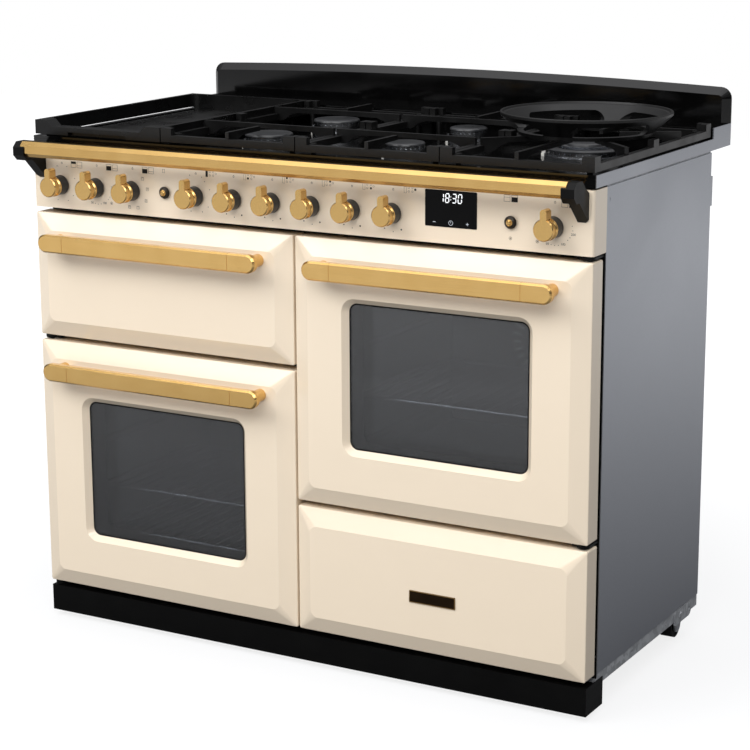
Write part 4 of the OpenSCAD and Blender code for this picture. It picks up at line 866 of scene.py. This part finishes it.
# %% Lamp glasses
LAMP_ACROSS, LAMP_UP = 155 * MM, 128 * MM
LENS_R = 19 * MM


def lamp_material():
    """pressed glass, slightly milky"""
    material, tree, shader = new_material(
        "lamp_glass", light(236, 236, 230), 0.12, Transmission_Weight=0.7, IOR=1.5)
    wave = use_group(tree, RIPPLE, Scale=120.0)
    bump_from(tree, shader, wave.outputs["Height"], 0.4, 0.0002)
    return material


def lamp_glass(x, y, z):
    """a domed disc that looks to the front"""
    lens = new_rod("lens", (x, y, z), LENS_R, 9 * MM, sides=36)
    front = y - 4.4 * MM
    edit(lens, "EDGE")
    pick_edges(lens, lambda a, b: a.y < front and b.y < front)
    bpy.ops.mesh.bevel(offset=3.6 * MM, segments=5)
    bpy.ops.mesh.select_mode(type="FACE")
    pick_faces(lens, lambda middle, normal: normal.y < -0.99)
    for depth in (-0.5, 0.5, -0.5):
        bpy.ops.mesh.inset(thickness=2.4 * MM, depth=depth * MM)
    done()
    return lens


low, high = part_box("oven_cavities")
FLANGE = (410 + 3 + 40) / 2 * MM
oven_middles = [(low.x + FLANGE, low.z + (340 + 3 + 40) / 2 * MM),
                (high.x - FLANGE, high.z - (340 + 3 + 40) / 2 * MM)]
lenses = [lamp_glass(x + LAMP_ACROSS, high.y - 16.5 * MM, z + LAMP_UP) for x, z in oven_middles]
oven_lamps = join("oven_lamp_glasses", lenses)
make_active(oven_lamps)
bpy.ops.object.shade_smooth_by_angle(angle=math.radians(35))
finish_with(oven_lamps, lamp_material())
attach(oven_lamps, "case")

# %% [markdown]
# ## Spark pins
#
# A steel pin beside each burner lights the gas. It stands in a white ceramic sleeve with a
# shoulder: a cylinder that is inset and extruded upward in two steps.

# %% Ceramic sleeves
def ceramic_sleeve(x, y, z):
    """a white sleeve round a pin, from the hob's well up"""
    sleeve = new_rod("sleeve", (x, y, z + 2.5 * MM), 4.4 * MM, 4.9 * MM, axis="Z", sides=24)
    edit(sleeve)
    pick_faces(sleeve, lambda middle, normal: normal.z > 0.9)
    bpy.ops.mesh.inset(thickness=1.0 * MM)
    bpy.ops.mesh.extrude_region_move(TRANSFORM_OT_translate={"value": (0, 0, 4.2 * MM)})
    bpy.ops.mesh.inset(thickness=0.5 * MM, depth=0.4 * MM)
    done()
    return sleeve


def ceramic():
    """glazed white ceramic with a few grey specks"""
    material, tree, shader = new_material("white_ceramic", light(236, 234, 228), 0.22)
    speck = use_group(tree, SPECKLE, Scale=900.0, Share=0.12)
    tree.links.new(mix_color(tree, speck.outputs["Speck"], light(238, 236, 230),
                             light(206, 203, 196)), shader.inputs["Base Color"])
    return material


BODY_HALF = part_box("side_panel_right")[1].x
ZONE_W = (2 * BODY_HALF - 4 * MM) / 4
zone_x = [-BODY_HALF + 2 * MM + (i + 0.5) * ZONE_W for i in range(4)]
well_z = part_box("burner_heads")[0].z + 20 * MM
DOOR_EDGE_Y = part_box("hob_top")[0].y
pins = [(zone_x[1] - 51 * MM, 138), (zone_x[1] - 51 * MM, 372),
        (zone_x[2] - 42 * MM, 138), (zone_x[2] - 42 * MM, 372), (zone_x[3] - 78 * MM, 272)]
sleeves = [ceramic_sleeve(x, DOOR_EDGE_Y + y * MM, well_z) for x, y in pins]
ceramics = join("spark_ceramics", sleeves)
finish_with(ceramics, ceramic())
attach(ceramics, "case")
print("sleeves:", len(sleeves))

# %% [markdown]
# ## The clock
#
# Behind the black pane glow four digits of seven segments each. A segment is a slim bar with
# pointed ends: a box whose end edges are bevelled until they meet. One segment is modelled, and
# each lit one is a copy that is turned and moved into its place.

# %% One segment
DIGIT_H = 14 * MM
DIGIT_W = 7.4 * MM
SEGMENT_T = 1.7 * MM
SEGMENT_DEEP = 0.12 * MM


def new_segment(length):
    """a bar along X with pointed ends, round the origin"""
    half = Vector((length / 2, SEGMENT_DEEP / 2, SEGMENT_T / 2))
    bar = new_box("segment", -half, half)
    edit(bar, "EDGE")
    pick_edges(bar, lambda a, b: abs(a.y - b.y) > SEGMENT_DEEP / 2)
    bpy.ops.mesh.bevel(offset=SEGMENT_T * 0.46, segments=1)
    done()
    return bar


across = new_segment(DIGIT_W - 1.5 * MM)
upright = new_segment(DIGIT_H / 2 - 1.2 * MM)
upright.data.transform(Matrix.Rotation(math.pi / 2, 4, "Y"))

# %% Four digits
x, z = DIGIT_W / 2 - 0.6 * MM, DIGIT_H / 4
SEGMENT_AT = {
    "top": (across, 0, 2 * z), "middle": (across, 0, 0), "bottom": (across, 0, -2 * z),
    "left_up": (upright, -x, z), "right_up": (upright, x, z),
    "left_low": (upright, -x, -z), "right_low": (upright, x, -z),
}
LIT = {
    "1": ["right_up", "right_low"],
    "8": list(SEGMENT_AT),
    "3": ["top", "middle", "bottom", "right_up", "right_low"],
    "0": ["top", "bottom", "left_up", "right_up", "left_low", "right_low"],
}
low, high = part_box("display_window")
pane_y = PANEL_FACE - 0.6 * MM
glow_y = pane_y - SEGMENT_DEEP / 2 - 0.02 * MM
clock_x = (low.x + high.x) / 2
clock_z = high.z - 16.5 * MM
DIGIT_PITCH = 10.2 * MM
SLANT = math.tan(math.radians(5))

lit = []
for digit, offset in zip("1830", (-1.62, -0.62, 0.62, 1.62)):
    for place_name in LIT[digit]:
        source, sx, sz = SEGMENT_AT[place_name]
        shift = (clock_x + offset * DIGIT_PITCH + sx + sz * SLANT, glow_y, clock_z + sz)
        lit.append(copy_to(source, "lit", shift))
for dot_z in (-2.4 * MM, 2.4 * MM):
    dot = new_disc("lit", (clock_x, glow_y, clock_z + dot_z), 0.8 * MM, sides=12)
    lit.append(thicken(dot, SEGMENT_DEEP))
digits = join("clock_digits", lit)
finish_with(digits, DIGIT_LIGHT)
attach(digits, "case")
bpy.data.objects.remove(across)
bpy.data.objects.remove(upright)
print("clock width:", round((digits.dimensions.x) / MM, 1), "mm")

# %% Touch symbols under the digits
symbol_z = low.z + 11.5 * MM
REACH = 30 * MM


def bar_symbol(width, height, at):
    """a short lit bar"""
    return thicken(new_tile("symbol", at, width, height), SEGMENT_DEEP)


minus_x, plus_x = clock_x - REACH, clock_x + REACH
symbols = [
    bar_symbol(5.0 * MM, 0.9 * MM, (minus_x, glow_y, symbol_z)),
    bar_symbol(5.0 * MM, 0.9 * MM, (plus_x, glow_y, symbol_z)),
    bar_symbol(0.9 * MM, 5.0 * MM, (plus_x, glow_y, symbol_z)),
    thicken(hollow(new_disc("symbol", (clock_x, glow_y, symbol_z), 4.0 * MM), 0.7 * MM),
            SEGMENT_DEEP),
    bar_symbol(0.7 * MM, 2.8 * MM, (clock_x, glow_y, symbol_z + 1.1 * MM)),
]
touch = join("touch_symbols", symbols)
finish_with(touch, SYMBOL_LIGHT)
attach(touch, "case")

# %% [markdown]
# ## Ink on the panel
#
# Round each knob the panel carries small dark marks: a ring at the top for off, dots and numbers
# for heat, a flame for gas, and little squares that show which oven or burner a knob belongs to.
# Each mark is a flat shape a tenth of a millimetre thick, and all of them become one print.

# %% Marks
INK_T = 0.12 * MM
INK_Y = PANEL_FACE - 0.02 * MM
print_parts = []


def ink(piece):
    """keeps a mark for the print"""
    print_parts.append(thicken(piece, INK_T))


def ink_dot(x, z, radius):
    ink(new_disc("ink", (x, INK_Y, z), radius, sides=12))


def ink_ring(x, z, radius, width):
    ink(hollow(new_disc("ink", (x, INK_Y, z), radius, sides=20), width))


def ink_bar(x, z, width, height):
    ink(new_tile("ink", (x, INK_Y, z), width, height))


def ink_frame(x, z, width, height, line=0.45 * MM):
    ink(hollow(new_tile("ink", (x, INK_Y, z), width, height), line))


def ink_number(x, z, words, size):
    """a plain number, as a mesh"""
    clear_selection()
    bpy.ops.object.text_add(rotation=(math.pi / 2, 0, 0))
    number = bpy.context.object
    number.data.body = words
    number.data.size = size
    number.data.align_x = "CENTER"
    number.data.align_y = "CENTER"
    number.data.resolution_u = 3
    bpy.ops.object.convert(target="MESH")
    number = settle("ink")
    number.data.transform(Matrix.Translation((x, INK_Y, z)))
    ink(number)


def knob_axis(node):
    """where a knob turns, in X and Z"""
    corner_low, corner_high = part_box(node)
    radius = (corner_high.x - corner_low.x) / 2
    return (corner_low.x + corner_high.x) / 2, corner_low.z + radius


# %% Symbols above the knobs
OVER_KNOB = 38.5
ICON = 11 * MM


def off_mark(x, z):
    """a small ring with a stroke, above a knob"""
    ink_ring(x, z, 1.7 * MM, 0.45 * MM)
    ink_bar(x, z + 1.4 * MM, 0.5 * MM, 1.6 * MM)


def cavity_icon(x, z, filled, heavy_top=False):
    """two boxes for the left and the right oven, one of them dark"""
    for side in (-1, 1):
        box_x = x + side * 6.6 * MM
        ink_frame(box_x, z, ICON, ICON)
        ink_bar(box_x, z + (1.6 if side < 0 else -1.4) * MM, ICON, 0.4 * MM)
        if side == filled:
            ink_bar(box_x, z + (3.2 if heavy_top else -1.6) * MM, ICON,
                    ICON * (0.36 if heavy_top else 0.7))


def hob_icon(x, z, spot):
    """the hob from above: a griddle, burners and a wok burner, one of them dark"""
    ink_frame(x - 9 * MM, z, 4.6 * MM, 10.5 * MM, 0.35 * MM)
    if spot == "griddle":
        ink_bar(x - 9 * MM, z, 4.6 * MM, 10.5 * MM)
    places = {"front_left": (-2.6, -2.2), "rear_left": (-2.6, 3.8), "rear_right": (4.2, 3.8),
              "front_right": (4.2, -2.2), "wok": (9.4, 1.2)}
    for name, (dx, dz) in places.items():
        if name == spot:
            ink_dot(x + dx * MM, z + dz * MM, 2.0 * MM)
        else:
            ink_ring(x + dx * MM, z + dz * MM, 1.7 * MM, 0.35 * MM)


# %% Dials: each mark as (kind, across, up, size) from the knob's axis, in mm
GAS_DIAL = [("dot", 15, -26.6, 1.5), ("dot", 0, -31, 0.8), ("dot", -16, -26.5, 1.1)]
GRIDDLE_DIAL = [("dot", dx, dz, 0.8) for dx, dz in (
    (-12.6, 35), (12, 33), (18, 25.7), (27.7, 12.6), (24.2, -17.6), (12.1, -26.9), (-11.4, -27.2))]
GRILL_DIAL = [("bar", -10.3, 32.4, 3.4), ("bar", 10.5, 32.6, 2.6)] + [
    ("dot", dx, dz, 0.8) for dx, dz in ((27.3, 12.3), (22.9, -18.4), (11.6, -28), (-11.3, -28.1))]
HEAT_DIAL = [("50", -12.4, -28, 5.4), ("100", 14.8, -27, 5.4), ("200", 32, -10.4, 5.4)] + [
    ("dot", dx, dz, 0.7) for dx, dz in (
        (-5.7, -28.9), (0.3, -29.7), (6.7, -28.9), (22.7, -19.8), (26.3, -15.4), (31, -4.2), (30, 3))]
FUNCTION_DIAL = [("frame", 20.7, 22, 5.4), ("frame", 30.5, 4.2, 5.4), ("frame", 26.9, -16.4, 5.4),
                 ("frame", 9.3, -29.5, 5.4), ("frame", -8.9, -29.6, 5.4)]


def light_symbol(x, z):
    """a lamp: a ring round a dot"""
    ink_ring(x, z, 2.6 * MM, 0.5 * MM)
    ink_dot(x, z, 1.0 * MM)


def draw_dial(axis, marks):
    """puts a dial's marks round a knob"""
    for number, (kind, across_by, up_by, size) in enumerate(marks):
        x, z = axis[0] + across_by * MM, axis[1] + up_by * MM
        if kind == "dot":
            ink_dot(x, z, size * MM)
        elif kind == "bar":
            ink_bar(x, z, size * MM, 0.7 * MM)
        elif kind == "frame":
            ink_frame(x, z, size * MM, size * MM, 0.4 * MM)
            for line in range(number % 3 + 1):
                ink_bar(x, z + (1.4 - 1.4 * line) * MM, 3.2 * MM, 0.5 * MM)
        else:
            ink_number(x, z, kind, size * MM)


# %% Print the panel
HOB_KNOBS = {
    "knob_griddle": "griddle", "knob_burner_front_left": "front_left",
    "knob_burner_rear_left": "rear_left", "knob_burner_rear_right": "rear_right",
    "knob_burner_front_right": "front_right", "knob_wok": "wok",
}
OVEN_KNOBS = {
    "knob_grill": (GRILL_DIAL, -1, 32.5), "knob_left_heat": (HEAT_DIAL, -1, 32.5),
    "knob_left_function": (FUNCTION_DIAL, -1, 32.5), "knob_right_heat": (HEAT_DIAL, 1, 23.3),
}
for node_name, spot_name in HOB_KNOBS.items():
    axis = knob_axis(node_name)
    off_mark(axis[0], axis[1] + OVER_KNOB * MM)
    draw_dial(axis, GRIDDLE_DIAL if spot_name == "griddle" else GAS_DIAL)
    hob_icon(axis[0] + 31.5 * MM, axis[1] + 39.5 * MM, spot_name)
for node_name, (marks, filled, icon_by) in OVEN_KNOBS.items():
    axis = knob_axis(node_name)
    off_mark(axis[0], axis[1] + OVER_KNOB * MM)
    draw_dial(axis, marks)
    cavity_icon(axis[0] + icon_by * MM, axis[1] + 37.2 * MM, filled, node_name == "knob_grill")
    if marks is HEAT_DIAL:
        light_symbol(axis[0] - math.copysign(29.6, axis[0]) * MM, axis[1] - 26 * MM)

button_x, button_z = knob_axis("button_light")
cavity_icon(button_x - 1.6 * MM, button_z + 37.5 * MM, 1)
light_symbol(button_x - 1.7 * MM, button_z - 26.2 * MM)
spark_x, spark_z = knob_axis("button_spark")
ink_frame(spark_x - 3.4 * MM, spark_z + 37 * MM, 4.5 * MM, 6.5 * MM, 0.4 * MM)


# %% Ink finish
def ink_finish():
    """dark brown-black ink, a little worn"""
    material, tree, shader = new_material("panel_ink", light(24, 22, 20), 0.5, Specular_IOR_Level=0.2)
    wear = on_object(tree, "ShaderNodeTexNoise", Scale=900.0, Detail=2.0)
    tree.links.new(tint_from(tree, wear.outputs["Fac"], light(14, 13, 12), light(34, 31, 28)),
                   shader.inputs["Base Color"])
    return material


panel_print = join("panel_print", print_parts)
finish_with(panel_print, ink_finish())
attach(panel_print, "case")
print("marks:", len(print_parts), "faces:", len(panel_print.data.polygons))

# %% [markdown]
# ## Stage and light
#
# The floor is plain and pale. To the camera it adds its own light, so that it reads as white
# around the object while the shadow under the plinth stays. The world is white to the camera,
# and to everything else it is a studio: dark near the horizon, so that the black enamel stays
# black, and bright overhead, which draws the light line along the rail and the splashback.

# %% Floor
clear_selection()
bpy.ops.mesh.primitive_plane_add(size=14.0, location=(0, 0, -0.0004))
floor = settle("studio_floor")
floor_paint, tree, shader = new_material("floor_paint", light(108, 109, 111), 0.8)
shader.inputs["Specular IOR Level"].default_value = 0.0
shader.inputs["Emission Color"].default_value = (1, 1, 1, 1)
ray = add(tree, "ShaderNodeLightPath")
place = add(tree, "ShaderNodeTexCoord")
reach = add(tree, "ShaderNodeVectorMath", operation="LENGTH")
tree.links.new(place.outputs["Object"], reach.inputs[0])


def floor_glow(start, end, low, high):
    """an emission that changes from low to high between two distances from the middle"""
    span = add(tree, "ShaderNodeMapRange")
    tree.links.new(reach.outputs["Value"], span.inputs["Value"])
    for label, value in (("From Min", start), ("From Max", end), ("To Min", low), ("To Max", high)):
        span.inputs[label].default_value = value
    return span.outputs["Result"]


seen = math_node(tree, "MULTIPLY", floor_glow(0.7, 1.9, 0.82, 1.0), ray.outputs["Is Camera Ray"])
mirrored = math_node(tree, "MAXIMUM", ray.outputs["Is Glossy Ray"], ray.outputs["Is Transmission Ray"])
shine = math_node(tree, "MULTIPLY", floor_glow(0.5, 4.3, 0.0, 0.85), mirrored)
tree.links.new(math_node(tree, "ADD", seen, shine), shader.inputs["Emission Strength"])
floor.data.materials.append(floor_paint)


# %% World
def studio_world():
    """white to the camera, a soft studio to the rest"""
    world = bpy.data.worlds.new("studio")
    bpy.context.scene.world = world
    world.use_nodes = True
    tree = world.node_tree
    tree.nodes.clear()
    out = add(tree, "ShaderNodeOutputWorld")
    ray = add(tree, "ShaderNodeLightPath")
    place = add(tree, "ShaderNodeTexCoord")
    parts = add(tree, "ShaderNodeSeparateXYZ")
    tree.links.new(place.outputs["Generated"], parts.inputs["Vector"])
    sky = add(tree, "ShaderNodeValToRGB")
    stops = ((0.0, 0.4), (0.49, 0.4), (0.51, 0.05), (0.62, 0.1), (0.8, 0.35), (0.88, 0.5), (0.94, 1.5))
    ramp = sky.color_ramp
    while len(ramp.elements) < len(stops):
        ramp.elements.new(0.5)
    for element, (at, level) in zip(ramp.elements, stops):
        element.position = at
        element.color = (level, level, level * 1.02, 1.0)
    half = math_node(tree, "MULTIPLY_ADD", parts.outputs["Z"], 0.5)
    half.node.inputs[2].default_value = 0.5
    tree.links.new(half, sky.inputs["Fac"])
    studio = add(tree, "ShaderNodeBackground", Strength=1.0)
    tree.links.new(sky.outputs["Color"], studio.inputs["Color"])
    white = add(tree, "ShaderNodeBackground", Color=(1, 1, 1, 1), Strength=1.0)
    mix = add(tree, "ShaderNodeMixShader")
    tree.links.new(ray.outputs["Is Camera Ray"], mix.inputs[0])
    tree.links.new(studio.outputs[0], mix.inputs[1])
    tree.links.new(white.outputs[0], mix.inputs[2])
    tree.links.new(mix.outputs[0], out.inputs["Surface"])
    return world


studio_world()


# %% Lamps
def soft_lamp(name, at, aim, size, power):
    """a square soft lamp that looks at a point"""
    lamp = bpy.data.lights.new(name, "AREA")
    lamp.shape = "RECTANGLE"
    lamp.size, lamp.size_y = size
    lamp.energy = power
    holder = bpy.data.objects.new(name, lamp)
    bpy.context.scene.collection.objects.link(holder)
    direction = Vector(aim) - Vector(at)
    spin = direction.to_track_quat("-Z", "Y").to_matrix().to_4x4()
    holder.matrix_world = Matrix.Translation(Vector(at)) @ spin
    return holder


soft_lamp("key_lamp", (-2.6, -4.4, 4.6), (0, 0, 0.45), (4.2, 3.4), 232)
soft_lamp("front_lamp", (2.4, -4.6, 4.0), (0, 0, 0.4), (4.2, 3.0), 182)
# a weak lamp near the floor lifts the undersides, and neither metal nor glass mirrors it
low_lamp = soft_lamp("low_lamp", (-0.7, -2.3, 0.12), (-0.1, 0, 0.7), (2.4, 0.35), 7)
low_lamp.visible_glossy = low_lamp.visible_transmission = False
soft_lamp("top_lamp", (-0.3, -0.9, 3.0), (0, 0, 0.8), (2.8, 1.2), 5)

bpy.context.scene.view_settings.view_transform = "Standard"
